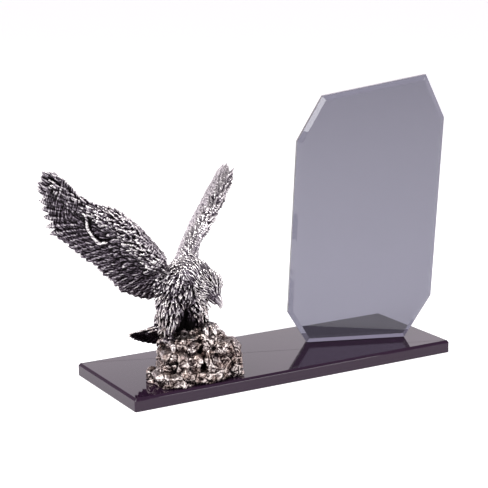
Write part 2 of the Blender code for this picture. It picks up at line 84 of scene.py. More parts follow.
def add_node(tree: bpy.types.NodeTree, kind: str, settings: dict[str, object] | None = None,
             inputs: dict[str | int, object] | None = None) -> bpy.types.Node:
    """Add a node, set its own settings and fill or link its inputs.

    Args:
        tree: The node tree that gets the node.
        kind: The node's type name.
        settings: The node's properties by name.
        inputs: Values or output sockets, by the input's name or number.

    Returns:
        The new node.
    """
    node = tree.nodes.new(kind)
    for name, value in (settings or {}).items():
        setattr(node, name, value)
    for name, value in (inputs or {}).items():
        if isinstance(value, bpy.types.NodeSocket):
            tree.links.new(value, node.inputs[name])
        else:
            node.inputs[name].default_value = value
    return node


def new_material(name: str) -> tuple[bpy.types.Material, bpy.types.NodeTree, bpy.types.Node]:
    """Make a material with only a Principled shader and its output.

    Args:
        name: The material's name.

    Returns:
        The material, its tree and the shader node.
    """
    material = bpy.data.materials.new(name)
    material.use_nodes = True
    tree = material.node_tree
    return material, tree, tree.nodes["Principled BSDF"]


def noise_node(tree: bpy.types.NodeTree, size_mm: float, detail: float,
               roughness: float = 0.5) -> bpy.types.NodeSocket:
    """Add noise of a real size on the piece's own coordinates.

    Args:
        tree: The node tree.
        size_mm: The size of its largest clouds.
        detail: How many finer layers it has.
        roughness: How strong those are.

    Returns:
        Its level.
    """
    spot = add_node(tree, "ShaderNodeTexCoord").outputs["Object"]
    return add_node(tree, "ShaderNodeTexNoise", {}, {
        "Vector": spot, "Scale": 1.0 / (size_mm * MM), "Detail": detail,
        "Roughness": roughness}).outputs["Fac"]


def math_node(tree: bpy.types.NodeTree, operation: str,
              *values: float | bpy.types.NodeSocket) -> bpy.types.NodeSocket:
    """Add a maths node.

    Args:
        tree: The node tree.
        operation: What it works out.
        values: What it works on, in order.

    Returns:
        The result.
    """
    return add_node(tree, "ShaderNodeMath", {"operation": operation},
                    dict(enumerate(values))).outputs["Value"]


def range_node(tree: bpy.types.NodeTree, value: bpy.types.NodeSocket, source: Pair,
               target: Pair = (0.0, 1.0), soft: bool = False) -> bpy.types.NodeSocket:
    """Add a node that maps one range to another and stops at its ends.

    Args:
        tree: The node tree.
        value: What is mapped.
        source: The ends of the first range.
        target: The ends of the second.
        soft: Whether it eases in and out.

    Returns:
        The result.
    """
    return add_node(tree, "ShaderNodeMapRange", {
        "clamp": True, "interpolation_type": "SMOOTHSTEP" if soft else "LINEAR"}, {
            "Value": value, "From Min": source[0], "From Max": source[1],
            "To Min": target[0], "To Max": target[1]}).outputs["Result"]


def bump_node(tree: bpy.types.NodeTree, height: bpy.types.NodeSocket, strength: float,
              depth_mm: float) -> bpy.types.NodeSocket:
    """Add a bump.

    Args:
        tree: The node tree.
        height: What it follows.
        strength: Its strength.
        depth_mm: Its real depth.

    Returns:
        The bent normal.
    """
    return add_node(tree, "ShaderNodeBump", {}, {
        "Height": height, "Strength": strength, "Distance": depth_mm * MM}).outputs["Normal"]


# Finishes

@dataclass(frozen=True)
class AntiqueSilver:
    """Silver plate on a casting, blackened with sulphide and rubbed back by hand.

    The high feather edges show bare silver, the hollows keep the grey-black sulphide, and a brown
    wax tone sits low on the figure. Upward faces are painted lighter and downward faces darker, a
    painted top light, and a few marked spots carry painted shade.
    """

    silver: str = "#f4f0ee"
    worn: str = "#776f79"
    sulphide: str = "#3a333b"
    hollow: str = "#0d0b0c"
    brown: str = "#8a6a58"
    grain_mm: float = 0.5
    cloud_mm: float = 7.0
    speckle: float = 0.24
    dullest: float = 0.55
    glossiest: float = 0.26
    stops: tuple[float, float, float, float] = (0.22, 0.42, 0.60, 0.86)
    wax_top_mm: float = 85.0
    wax_full_mm: float = 50.0
    wax_share: float = 0.62

    def material(self, name: str) -> bpy.types.Material:
        """Build the node tree that reads the rubbing attribute, with its painted light and shade.

        Args:
            name: The material's name.

        Returns:
            The material.
        """
        material, tree, shader = new_material(name)
        spot = add_node(tree, "ShaderNodeTexCoord").outputs["Object"]
        # The attribute carries rubbing plus painted light: a painted top light on upward faces and
        # painted shade on downward faces and marked spots.
        rub_and_painted_light = add_node(tree, "ShaderNodeAttribute", {"attribute_name": "rub_and_painted_light"}).outputs["Fac"]
        grain = noise_node(tree, self.grain_mm, 3.0, 0.6)
        speckled = math_node(tree, "MULTIPLY_ADD", grain, self.speckle, rub_and_painted_light)
        level = math_node(tree, "SUBTRACT", speckled, self.speckle / 2.0)
        ramp = add_node(tree, "ShaderNodeValToRGB", {}, {"Fac": level})
        stops = list(zip(self.stops, (self.hollow, self.sulphide, self.worn, self.silver)))
        while len(ramp.color_ramp.elements) < len(stops):
            ramp.color_ramp.elements.new(0.5)
        for element, (position, colour) in zip(ramp.color_ramp.elements, stops):
            element.position = position
            element.color = linear(colour)
        height = add_node(tree, "ShaderNodeSeparateXYZ", {}, {"Vector": spot}).outputs["Z"]
        low = range_node(tree, height, (self.wax_top_mm * MM, self.wax_full_mm * MM))
        patches = range_node(tree, noise_node(tree, self.cloud_mm, 2.0), (0.38, 0.62))
        share = math_node(tree, "MULTIPLY", math_node(tree, "MULTIPLY", low, patches),
                          self.wax_share)
        toned = add_node(tree, "ShaderNodeMix", {"data_type": "RGBA", "blend_type": "MULTIPLY"}, {
            "Factor": share, "A": ramp.outputs["Color"], "B": linear(self.brown)})
        dull = range_node(tree, level, (0.3, 0.75), (self.dullest, self.glossiest))
        tree.links.new(toned.outputs["Result"], shader.inputs["Base Color"])
        tree.links.new(dull, shader.inputs["Roughness"])
        tree.links.new(bump_node(tree, grain, 0.5, 0.12), shader.inputs["Normal"])
        shader.inputs["Metallic"].default_value = 1.0
        return material


@dataclass(frozen=True)
class SmokedGlass:
    """Grey float glass, cut and polished: see-through, with a slight violet cast."""

    tint: str = "#7c7b89"
    index: float = 1.52
    wave_mm: float = 60.0

    def material(self) -> bpy.types.Material:
        """Build the see-through glass."""
        material, tree, shader = new_material("smoked_float_glass")
        wave = noise_node(tree, self.wave_mm, 1.0)
        shader.inputs["Base Color"].default_value = linear(self.tint)
        shader.inputs["Roughness"].default_value = 0.0
        shader.inputs["IOR"].default_value = self.index
        shader.inputs["Transmission Weight"].default_value = 1.0
        tree.links.new(bump_node(tree, wave, 0.05, 0.2), shader.inputs["Normal"])
        return material


@dataclass(frozen=True)
class BlackGlass:
    """Opaque black float glass with a fire-polished face: almost no colour, a sharp reflection."""

    body: str = "#2c1a2d"
    smudge_mm: float = 18.0
    index: float = 1.38

    def material(self) -> bpy.types.Material:
        """Build the black glass with its faint smudges."""
        material, tree, shader = new_material("black_float_glass")
        gloss = range_node(tree, noise_node(tree, self.smudge_mm, 4.0), (0.35, 0.75), (0.03, 0.06))
        shader.inputs["Base Color"].default_value = linear(self.body)
        shader.inputs["IOR"].default_value = self.index
        tree.links.new(gloss, shader.inputs["Roughness"])
        return material


@dataclass(frozen=True)
class StudioPaper:
    """Matt white paper, lit so that it prints as plain white."""

    white: str = "#f4f4f4"
    glow: float = 0.62

    def material(self) -> bpy.types.Material:
        """Build the floor's paper."""
        material, tree, shader = new_material("studio_paper")
        shader.inputs["Base Color"].default_value = linear(self.white)
        shader.inputs["Roughness"].default_value = 0.9
        shader.inputs["Emission Color"].default_value = (1.0, 1.0, 1.0, 1.0)
        shader.inputs["Emission Strength"].default_value = self.glow
        return material


# Carving

def rotation(turn: Triple) -> np.ndarray:
    """A rotation from degrees about X, Y and Z.

    Args:
        turn: The three angles.

    Returns:
        A 3 by 3 matrix.
    """
    x, y, z = (math.radians(angle) for angle in turn)
    return np.array(Matrix.Rotation(z, 3, "Z") @ Matrix.Rotation(y, 3, "Y")
                    @ Matrix.Rotation(x, 3, "X"))


def curve_at(points: np.ndarray, share: np.ndarray) -> np.ndarray:
    """Spots on the smooth curve through the given points.

    Args:
        points: One row for each point.
        share: How far along each wanted spot lies, from 0 to 1.

    Returns:
        One row for each share.
    """
    spans = len(points) - 1
    span = np.clip((share * spans).astype(int), 0, spans - 1)
    local = (share * spans - span)[:, None]
    before = points[np.maximum(span - 1, 0)]
    start = points[span]
    end = points[span + 1]
    after = points[np.minimum(span + 2, spans)]
    return 0.5 * (2.0 * start + (end - before) * local
                  + (2.0 * before - 5.0 * start + 4.0 * end - after) * local ** 2
                  + (3.0 * start - before - 3.0 * end + after) * local ** 3)


def unit(vectors: np.ndarray) -> np.ndarray:
    """The same directions, each of length 1."""
    return vectors / np.maximum(np.linalg.norm(vectors, axis=-1, keepdims=True), 1e-9)


def rows_of(items: bpy.types.bpy_prop_collection, name: str, width: int = 3,
            kind: type = np.float32) -> np.ndarray:
    """Read one value of every item of a mesh.

    Args:
        items: The items, such as the mesh's vertices.
        name: The value's name.
        width: How many numbers it has.
        kind: What the mesh stores it as.

    Returns:
        One row for each item.
    """
    flat = np.empty(len(items) * width, dtype=kind)
    items.foreach_get(name, flat)
    return flat.reshape(-1, width)


class Carving:
    """Closed forms that overlap, in units of the figure, before one skin is drawn over them."""

    def __init__(self, seed: int) -> None:
        """Start with no forms and with seeded chance.

        Args:
            seed: What the small differences between feathers start from.
        """
        self.bm = bmesh.new()
        self.chance = random.Random(seed)
        self.balls: dict[tuple[int, int], tuple[bpy.types.Mesh, np.ndarray]] = {}

    def ball(self, sides: int, rings: int) -> tuple[bpy.types.Mesh, np.ndarray]:
        """A ball of radius 1, its poles on Z, made once for each fineness.

        Args:
            sides: How many faces go round it.
            rings: How many go from pole to pole.

        Returns:
            The mesh and its vertices, one row each.
        """
        key = (sides, rings)
        if key not in self.balls:
            form = bmesh.new()
            bmesh.ops.create_uvsphere(form, u_segments=sides, v_segments=rings, radius=1.0)
            mesh = bpy.data.meshes.new("ball")
            form.to_mesh(mesh)
            form.free()
            self.balls[key] = (mesh, rows_of(mesh.vertices, "co").astype(float))
        return self.balls[key]

    def add(self, sides: int, rings: int, shape: Callable[[np.ndarray], np.ndarray]) -> None:
        """Add one form: a ball whose vertices are moved by the given shape.

        Args:
            sides: How many faces go round the ball.
            rings: How many go from pole to pole.
            shape: Takes the ball's vertices and gives the form's.
        """
        mesh, spots = self.ball(sides, rings)
        form = mesh.copy()
        form.vertices.foreach_set("co", shape(spots).astype(np.float32).ravel())
        self.bm.from_mesh(form)
        bpy.data.meshes.remove(form)

    def lump(self, centre: Triple, radii: Triple, turn: Triple = (0.0, 0.0, 0.0),
             sides: int = 28) -> None:
        """Add an ellipsoid.

        Args:
            centre: Its middle.
            radii: Its three half lengths.
            turn: Its turn in degrees about X, Y and Z.
            sides: How many faces go round it.
        """
        axes = rotation(turn)
        self.add(sides, sides // 2, lambda ball: np.array(centre) + (ball * radii) @ axes.T)

    def limb(self, points: Sequence[Triple], radii: Sequence[float], rings: int = 24,
             sides: int = 18, flatten: float = 1.0) -> None:
        """Add a round limb along a smooth curve.

        Args:
            points: What the curve goes through.
            radii: The limb's radius at each point.
            rings: How many faces go along it.
            sides: How many go round it.
            flatten: Its width across, as a share of its depth.
        """
        path = np.array(points, dtype=float)
        sizes = np.array(radii, dtype=float)[:, None]
        whole = unit(path[-1] - path[0])
        upright = np.array((1.0, 0.0, 0.0) if abs(whole[2]) > 0.9 else (0.0, 0.0, 1.0))

        def shape(ball: np.ndarray) -> np.ndarray:
            share = np.clip((1.0 - ball[:, 2]) / 2.0, 0.0, 1.0)
            ahead = unit(curve_at(path, np.minimum(share + 0.02, 1.0))
                         - curve_at(path, np.maximum(share - 0.02, 0.0)))
            across = unit(np.cross(ahead, upright))
            above = np.cross(across, ahead)
            reach = np.hypot(ball[:, 0], ball[:, 1])
            flat = ball[:, :2] / np.maximum(reach, 1e-6)[:, None]
            swell = curve_at(sizes, share)[:, 0] * np.minimum(1.0, 1.6 * reach)
            out = across * flat[:, :1] * flatten + above * flat[:, 1:]
            return curve_at(path, share) + out * swell[:, None]

        self.add(sides, rings, shape)


@dataclass(frozen=True)
class Feather:
    """One feather: a thin closed blade with a quill down its middle and barbs on both vanes."""

    length: float
    width: float
    thickness: float = 2.2
    point: float = 0.6
    quill: float = 0.30
    barb_depth: float = 0.60
    barb_pitch: float = 2.0
    barb_rake: float = 1.1
    raggedness: float = 0.14
    small: bool = False

    def half_width(self, share: np.ndarray) -> np.ndarray:
        """The vane's half width at a share of the length, round at the root, drawn to a tip."""
        root = np.minimum(1.0, (np.maximum(share, 0.0) / 0.22) ** 0.6)
        late = np.maximum(0.0, (share - self.point) / (1.0 - self.point))
        tip = np.maximum(0.0, 1.0 - late ** 2.2) ** 0.6
        return root * tip * self.width / 2.0

    def lay(self, carving: Carving, place: Place) -> None:
        """Add the feather to a carving.

        Args:
            carving: What it is added to.
            place: Turns arrays of distances along, across and above into spots.
        """
        sides = 6 if self.small else max(12, int(self.width * 3.6) // 2 * 2)
        rings = 7 if self.small else max(12, int(self.length / 0.5))
        shift = carving.chance.uniform(0.0, 1.0)

        def shape(ball: np.ndarray) -> np.ndarray:
            share = 1.0 - np.arccos(np.clip(ball[:, 2], -1.0, 1.0)) / math.pi
            reach = np.maximum(np.hypot(ball[:, 0], ball[:, 1]), 1e-6)
            side = ball[:, 0] / reach
            face = ball[:, 1] / reach
            along = share * self.length
            across = side * self.half_width(share)
            ends = np.clip(7.0 * np.minimum(share, 1.0 - share), 0.0, 1.0)
            body = self.thickness / 2.0 * (1.0 - 0.45 * np.abs(side))
            if not self.small:
                phase = (along - self.barb_rake * np.abs(across)) / self.barb_pitch + shift
                phase += 0.22 * np.sin(along * 0.8 + 9.0 * shift + 1.5 * side)
                barbs = np.abs(2.0 * (phase - np.floor(phase)) - 1.0) - 0.5
                body += self.barb_depth * barbs + self.quill * np.exp(-(across / 0.75) ** 2)
                across = across * (1.0 + self.raggedness * barbs)
            return place(along, across, face * body * ends)

        carving.add(sides, rings, shape)


def lay_over_limb(carving: Carving, points: Sequence[Triple], radii: Sequence[float],
                  feather: Feather, spacing: Pair, lean: Triple, start: float = 0.06,
                  stop: float = 0.97) -> None:
    """Cover a limb with rows of small feathers that point along it.

    Args:
        carving: What they are added to.
        points: The limb's points.
        radii: Its radius at each.
        feather: The feather that is repeated.
        spacing: Distances between rows and between the feathers of a row.
        lean: A direction that all of them are turned towards.
        start: Where the rows start, as a share of the limb.
        stop: Where they stop.
    """
    path = np.array(points, dtype=float)
    sizes = np.array(radii, dtype=float)[:, None]
    length = np.linalg.norm(np.diff(path, axis=0), axis=1).sum()
    rows = max(2, int(length * (stop - start) / spacing[0]))
    for row in range(rows):
        share = start + (stop - start) * row / (rows - 1)
        radius = curve_at(sizes, np.array([share]))[0, 0]
        count = max(4, int(2.0 * math.pi * radius / spacing[1]))
        for index in range(count):
            stray = carving.chance.uniform(-0.5, 0.5) * (stop - start) / rows
            spot = np.array([min(max(share + stray, start), stop)])
            radius = curve_at(sizes, spot)[0, 0]
            ahead = unit(curve_at(path, np.minimum(spot + 0.03, 1.0))
                         - curve_at(path, np.maximum(spot - 0.03, 0.0)))[0]
            across = unit(np.cross(ahead, (0.31, 0.22, 0.93)))
            above = np.cross(across, ahead)
            around = 2.0 * math.pi * (index + 0.5 * (row % 2)) / count
            normal = across * math.cos(around) + above * math.sin(around)
            lay_on_surface(carving, feather, curve_at(path, spot)[0] + normal * radius, normal,
                           ahead + np.array(lean))


def lay_on_surface(carving: Carving, feather: Feather, spot: np.ndarray, normal: np.ndarray,
                   flow: np.ndarray) -> None:
    """Lay one feather on a surface, its tip lifted a little.

    Args:
        carving: What it is added to.
        feather: The feather.
        spot: Where its root is.
        normal: The surface's outward direction there.
        flow: Roughly where it points.
    """
    stray = carving.chance.uniform(-0.26, 0.26)
    stretch = carving.chance.uniform(0.80, 1.20)
    way = unit(flow - normal * np.dot(flow, normal))
    aside = np.cross(normal, way)
    way = unit(way + aside * stray)
    aside = np.cross(normal, way)
    drop = feather.thickness * 0.28

    def place(along: np.ndarray, across: np.ndarray, lift: np.ndarray) -> np.ndarray:
        rise = (0.10 * along - drop + lift)[:, None]
        return (spot + way * (along * stretch)[:, None] + aside * across[:, None]
                + normal * rise)

    feather.lay(carving, place)


def lay_over_lump(carving: Carving, centre: Triple, radii: Triple, turn: Triple, flow: Triple,
                  tilts: Sequence[float], feather: Feather, spacing: float) -> None:
    """Cover an ellipsoid with rows of feathers that all point along the flow.

    Args:
        carving: What they are added to.
        centre: The ellipsoid's middle.
        radii: Its half lengths.
        turn: Its turn in degrees about X, Y and Z.
        flow: Roughly where the feathers point.
        tilts: The rows, in degrees from the ellipsoid's own +X end.
        feather: The feather that is repeated.
        spacing: The distance between the feathers of a row.
    """
    axes = rotation(turn)
    sizes = np.array(radii, dtype=float)
    for row, tilt in enumerate(tilts):
        ring = 2.0 * math.pi * math.sin(math.radians(tilt)) * (radii[1] + radii[2]) / 2.0
        count = max(5, int(ring / spacing))
        step = abs(tilts[1] - tilts[0])
        for index in range(count):
            polar = math.radians(tilt + carving.chance.uniform(-0.4, 0.4) * step)
            around = 2.0 * math.pi * (index + 0.5 * (row % 2)) / count
            ball = np.array((math.cos(polar), math.sin(polar) * math.cos(around),
                             math.sin(polar) * math.sin(around)))
            normal = unit(axes @ (ball / sizes))
            lay_on_surface(carving, feather, np.array(centre) + axes @ (ball * sizes), normal,
                           np.array(flow, dtype=float))


# The rubbing

def neighbour_mean(spots: np.ndarray, edges: np.ndarray, steps: int) -> np.ndarray:
    """Relax vertices towards their neighbours.

    Args:
        spots: One row for each vertex.
        edges: Pairs of vertex numbers.
        steps: How many times.

    Returns:
        The relaxed rows.
    """
    count = len(spots)
    ends = np.concatenate([edges[:, 0], edges[:, 1]])
    others = np.concatenate([edges[:, 1], edges[:, 0]])
    share = 1.0 / (1.0 + np.bincount(ends, minlength=count))
    for _ in range(steps):
        total = np.stack([np.bincount(ends, spots[others, axis], minlength=count)
                          for axis in range(spots.shape[1])], axis=1)
        spots = (spots + total) * share[:, None]
    return spots


@dataclass(frozen=True)
class RubbingAndPaintedLight:
    """How far polishing has brought the bare silver back at every vertex of a skin, plus painted
    light: upward faces are painted lighter and downward faces darker, a painted top light.

    The shaded spots, in millimetres, get painted shade: darkened where the parts close in and shade
    falls.
    """

    fine_steps: int = 5
    broad_steps: int = 45
    fine_mm: float = 0.065
    broad_mm: float = 0.45
    fine_share: float = 0.13
    broad_share: float = 0.11
    painted_top_light_share: float = 0.20
    middle: float = 0.5
    limit: float = 2.0
    painted_shade_spots: tuple[Triple, ...] = ()
    painted_shade_mm: float = 8.0
    painted_shade_depth: float = 0.4

    def mark(self, mesh: bpy.types.Mesh) -> None:
        """Write the rubbing, with its painted top light and painted shade, as an attribute of the
        mesh, from 0 (black) to 1 (bare).

        Args:
            mesh: The finished skin, in metres.
        """
        places = rows_of(mesh.vertices, "co").astype(float)
        outward = rows_of(mesh.vertex_normals, "vector").astype(float)
        pairs = rows_of(mesh.edges, "vertices", 2, np.int32)
        near = neighbour_mean(places, pairs, self.fine_steps)
        wide = neighbour_mean(near, pairs, self.broad_steps)
        fine = np.einsum("ij,ij->i", places - near, outward) / (self.fine_mm * MM)
        broad = np.einsum("ij,ij->i", near - wide, outward) / (self.broad_mm * MM)
        # The last term is a painted top light: upward faces are painted lighter, downward faces
        # darker.
        rub_and_painted_light = (self.middle + self.fine_share * np.clip(fine, -self.limit, self.limit)
               + self.broad_share * np.clip(broad, -self.limit, self.limit)
               + self.painted_top_light_share * outward[:, 2])
        # Painted shade: the marked spots are darkened where the parts close in.
        for middle in self.painted_shade_spots:
            away = np.linalg.norm(places / MM - np.array(middle), axis=1)
            rub_and_painted_light -= self.painted_shade_depth * np.exp(-(away / self.painted_shade_mm) ** 2)
        attribute = mesh.attributes.new("rub_and_painted_light", "FLOAT", "POINT")
        attribute.data.foreach_set("value", rub_and_painted_light.astype(np.float32))


# The figure's parts

@dataclass(frozen=True)
class Plan:
    """A wing laid flat: everything in it is given as out from the shoulder and back from the front.

    The bone's marks also have their lift and radius, and each covert row has its count, where it
    starts and ends behind the bone, its lift and the width of its feathers.
    """

    bone: tuple[tuple[float, float, float, float], ...]
    primary_roots: tuple[Pair, ...]
    primary_tips: tuple[Pair, ...]
    secondary_tips: tuple[Pair, ...]
    tertial_tips: tuple[Pair, ...]
    narrowing: float = 0.0
    secondary_roots: tuple[Pair, ...] = ((56, 4), (4, 7))
    tertial_roots: tuple[Pair, ...] = ((8, 8), (2, 8))
    ridge: tuple[Pair, ...] = ((88, 4), (84, 8), (74, 16), (67, 19), (60, 20.5), (55, 20), (52, 15))
    covert_rows: tuple[tuple[int, float, float, float, float], ...] = (
        (22, 12.5, 22.5, 1.3, 7.6), (20, 6.5, 15.5, 1.9, 7.2), (18, 1.5, 9.5, 2.5, 7.0),
        (16, -3.0, 4.5, 3.0, 6.6))


RIGHT_PLAN = Plan(
    bone=((2, 2, -1.5, 7.2), (26, 1, 0.8, 7.4), (50, -1.5, 1.0, 6.4), (66, -1.5, 0.5, 5.2),
          (79, 3.4, 0.0, 3.6), (104, 6, 0.0, 2.4), (122, 4.5, 0.0, 1.8)),
    primary_roots=((98, 5), (58, 6)),
    primary_tips=((133, -1.5), (137, 3), (134, 8.5), (130, 13.5), (124, 19.5), (117, 25),
                  (110, 29), (103, 33), (96, 36.5), (89, 40)),
    secondary_tips=((82, 39.5), (70, 39), (56, 40), (44, 38), (30, 39.5), (12, 39)),
    tertial_tips=((8, 40), (-4, 37), (-13, 32)))

LEFT_PLAN = Plan(
    bone=((2, -1, -2.0, 5.8), (26, 0, 0.5, 4.9), (50, -4.5, 0.8, 4.6), (74, -6, 0.8, 4.4),
          (96, -5.5, 0.5, 3.2), (118, -2, 0.0, 1.8)),
    primary_roots=((98, 0), (58, 4)),
    primary_tips=((121, -1), (134, 5), (143, 12), (150, 20), (159, 33), (147, 34), (134, 32),
                  (121, 30), (109, 28), (98, 27)),
    secondary_tips=((90, 28), (74, 29), (58, 28), (44, 26), (30, 25), (12, 23)),
    tertial_tips=((8, 26), (-2, 26), (-10, 23)),
    narrowing=0.5)


@dataclass
class Wing:
    """A raised wing: a cambered sheet in which the feathers are laid by their place on it."""

    side: Bird
    shoulder: Triple
    tip: Triple
    bow: float
    plan: Plan
    chord: float = 42.0
    camber: float = 4.0
    chord_fall: float = 0.69
    plan_length: float = 135.0
    secondaries: int = 12
    tertials: int = 5
    ridge_lift: float = -3.2
    ridge_radii: tuple[float, ...] = (0.8, 1.2, 1.45, 1.1, 1.5, 1.3, 0.7)
    lay_outs: tuple[float, ...] = (0, 30, 60, 90, 120)
    lay_angles: tuple[float, ...] = (80, 62, 50, 38, 14)
    seed: int = 1
    long_cut_depth: float = 0.36
    short_cut_depth: float = 0.20
    swell_height: float = 0.4
    name: str = "eagle_wing"
    grain_mm: float = 0.46
    rubbing_and_painted_light: RubbingAndPaintedLight = field(default_factory=RubbingAndPaintedLight)
    length: float = field(init=False)

    def __post_init__(self) -> None:
        """Work out the sheet's own directions."""
        self.start = np.array(self.shoulder, dtype=float)
        reach = np.array(self.tip, dtype=float) - self.start
        self.length = float(np.linalg.norm(reach))
        self.span = reach / self.length
        fall = np.array((-math.sqrt(1.0 - self.chord_fall ** 2), 0.0, -self.chord_fall))
        self.upper = unit(np.cross(self.span, fall) * self.side.value)
        self.back = unit(fall - self.span * np.dot(fall, self.span))
        self.size = self.length / self.plan_length

    def at(self, out: np.ndarray, back: np.ndarray, lift: np.ndarray) -> np.ndarray:
        """Spots on the wing.

        Args:
            out: Distances out from the shoulder.
            back: Distances back from the front edge.
            lift: Heights over the sheet.

        Returns:
            One row for each spot.
        """
        along = np.clip(out / self.length, 0.0, 1.0)
        arch = self.camber * (1.0 - (2.0 * back / self.chord - 0.7) ** 2)
        rise = arch + self.bow * np.sin(math.pi * along) + lift
        return (self.start + self.span * out[:, None] + self.back * back[:, None]
                + self.upper * rise[:, None])

    def bone_points(self) -> list[Triple]:
        """The bone's points in the figure's frame."""
        marks = np.array(self.plan.bone)
        return [tuple(spot) for spot in self.at(marks[:, 0] * self.size, marks[:, 1], marks[:, 2])]

    def bone_at(self, out: float) -> Pair:
        """The bone's place back from the front and its radius, at a distance out on the plan."""
        marks = np.array(self.plan.bone)
        return (float(np.interp(out, marks[:, 0], marks[:, 1])),
                float(np.interp(out, marks[:, 0], marks[:, 3])))

    def lay(self, carving: Carving, feather: Feather, root: Pair, tip: Pair, lifts: Pair,
            roll: float) -> None:
        """Lay one feather from its root to its tip.

        Args:
            carving: What it is added to.
            feather: The feather; its length is that from root to tip.
            root: Its root, out and back.
            tip: Its tip, out and back.
            lifts: Its height over the sheet at the root and the tip.
            roll: How far it is rolled over its neighbour.
        """
        start = np.array(root)
        reach = np.array(tip) - start
        length = float(np.linalg.norm(reach))
        way = reach / length
        sweep = carving.chance.uniform(-0.5, 0.9)

        def place(along: np.ndarray, across: np.ndarray, lift: np.ndarray) -> np.ndarray:
            share = along / length
            aside = across + sweep * np.sin(math.pi * share)
            raised = lifts[0] + (lifts[1] - lifts[0]) * share + lift - across * roll
            return self.at(start[0] + way[0] * along - way[1] * aside,
                           start[1] + way[1] * along + way[0] * aside, raised)

        feather.lay(carving, place)

    def carve_bone(self, carving: Carving) -> None:
        """The arm along the front edge, under small scale-like feathers."""
        points = self.bone_points()
        radii = [radius for *_, radius in self.plan.bone]
        carving.limb(points, radii, rings=40)
        lean = tuple(self.back * 0.55)
        lay_over_limb(carving, points, [radius * 0.97 for radius in radii],
                      Feather(9.5, 2.1, 0.8, small=True), (2.7, 1.9), lean, stop=0.98)

    def carve_flight_feathers(self, carving: Carving) -> None:
        """The primaries, the secondaries and the short tertials next to the body."""
        plan = self.plan
        between = [outline_at(plan.secondary_tips, index / (self.secondaries - 1))
                   for index in range(self.secondaries)]
        inner = [outline_at(plan.tertial_tips, index / (self.tertials - 1))
                 for index in range(self.tertials)]
        groups = [(plan.primary_roots, plan.primary_tips, 8.6, 2.6, 0.55, -0.6, 0.16),
                  (plan.secondary_roots, between, 9.4, 2.6, 0.66, -0.4, 0.16),
                  (plan.tertial_roots, inner, 11.0, 3.0, 0.66, 0.0, 0.12)]
        for roots, tips, width, thickness, point, drop, roll in groups:
            for index, (tip_out, tip_back) in enumerate(tips):
                out, back = outline_at(roots, index / (len(tips) - 1))
                scale = 1.0 if tips is inner else self.size
                root = (out * scale, back)
                tip = (tip_out * scale, tip_back + carving.chance.uniform(-0.8, 0.8))
                feather = Feather(math.dist(root, tip), width, thickness, point)
                self.lay(carving, feather, root, tip, (0.0, drop), roll)

    def carve_ridge(self, carving: Carving) -> None:
        """The raised rim on the wing's underside, where the thick coverts end."""
        marks = np.array(self.plan.ridge, dtype=float)
        spots = self.at(marks[:, 0] * self.size, marks[:, 1], np.full(len(marks), self.ridge_lift))
        carving.limb([tuple(spot) for spot in spots], self.ridge_radii, rings=60, sides=12)

    def carve_coverts(self, carving: Carving) -> None:
        """The rows of shorter feathers over and under the roots of the long ones."""
        for count, start, end, lift, width in self.plan.covert_rows:
            for face in (1.0, -1.0):
                for index in range(count):
                    share = (index + 0.5) / count
                    out = 4.0 + 108.0 * share
                    taper = 1.0 - 0.45 * share ** 2 - self.plan.narrowing * (1.0 - share) ** 3
                    edge, thick = self.bone_at(out)
                    buried = max(lift * 0.5, 0.9 * math.sqrt(max(thick ** 2 - start ** 2, 0.0)))
                    shift, slip, stretch, rise = (carving.chance.uniform(-1.0, 1.0)
                                                  for _ in range(4))
                    out += 1.3 * shift
                    root = (out * self.size, start * taper + edge + slip)
                    tip = ((out + 3.0 + 12.0 * share + slip) * self.size,
                           end * taper + edge + 2.0 * stretch)
                    feather = Feather(math.dist(root, tip), width * (0.92 + 0.16 * shift), 1.3,
                                      0.5, barb_depth=0.5, barb_pitch=1.5, raggedness=0.2)
                    self.lay(carving, feather, root, tip,
                             (face * buried, face * (lift + 0.3 + 0.45 * rise)), 0.14 * face)

    def chase(self, places: np.ndarray) -> np.ndarray:
        """How far chasing tools have raised or sunk the skin: fine cuts along the feathers.

        Args:
            places: Spots on the skin in units of the figure.

        Returns:
            A height for each spot.
        """
        away = places - self.start
        out = away @ self.span
        back = away @ self.back
        lift = away @ self.upper
        turn = np.radians(np.interp(out / self.size, self.lay_outs, self.lay_angles))
        along = out * np.cos(turn) + back * np.sin(turn)
        across = back * np.cos(turn) - out * np.sin(turn)
        heights = np.empty(len(places))
        for index, (u, v, w) in enumerate(zip(along, across, lift)):
            long_cut = noise.noise((u / 4.2, v / 0.85, w / 3.0))
            short_cut = noise.noise((u / 1.7 + 9.0, v / 0.6, w / 2.0))
            swell = noise.noise((u / 9.0 + 4.0, v / 5.0, w / 6.0))
            heights[index] = (self.long_cut_depth * long_cut + self.short_cut_depth * short_cut
                              + self.swell_height * swell)
        return heights

    def carve(self) -> Carving:
        """All the wing's forms."""
        carving = Carving(self.seed)
        self.carve_bone(carving)
        self.carve_flight_feathers(carving)
        self.carve_coverts(carving)
        self.carve_ridge(carving)
        return carving


def outline_at(marks: Sequence[Pair], share: float) -> Pair:
    """A spot on a broken line.

    Args:
        marks: The line's corners, out and back.
        share: How far along its length.

    Returns:
        The spot, out and back.
    """
    spots = np.array(marks, dtype=float)
    lengths = np.linalg.norm(np.diff(spots, axis=0), axis=1)
    reached = np.concatenate([[0.0], np.cumsum(lengths)])
    wanted = share * reached[-1]
    return (float(np.interp(wanted, reached, spots[:, 0])),
            float(np.interp(wanted, reached, spots[:, 1])))


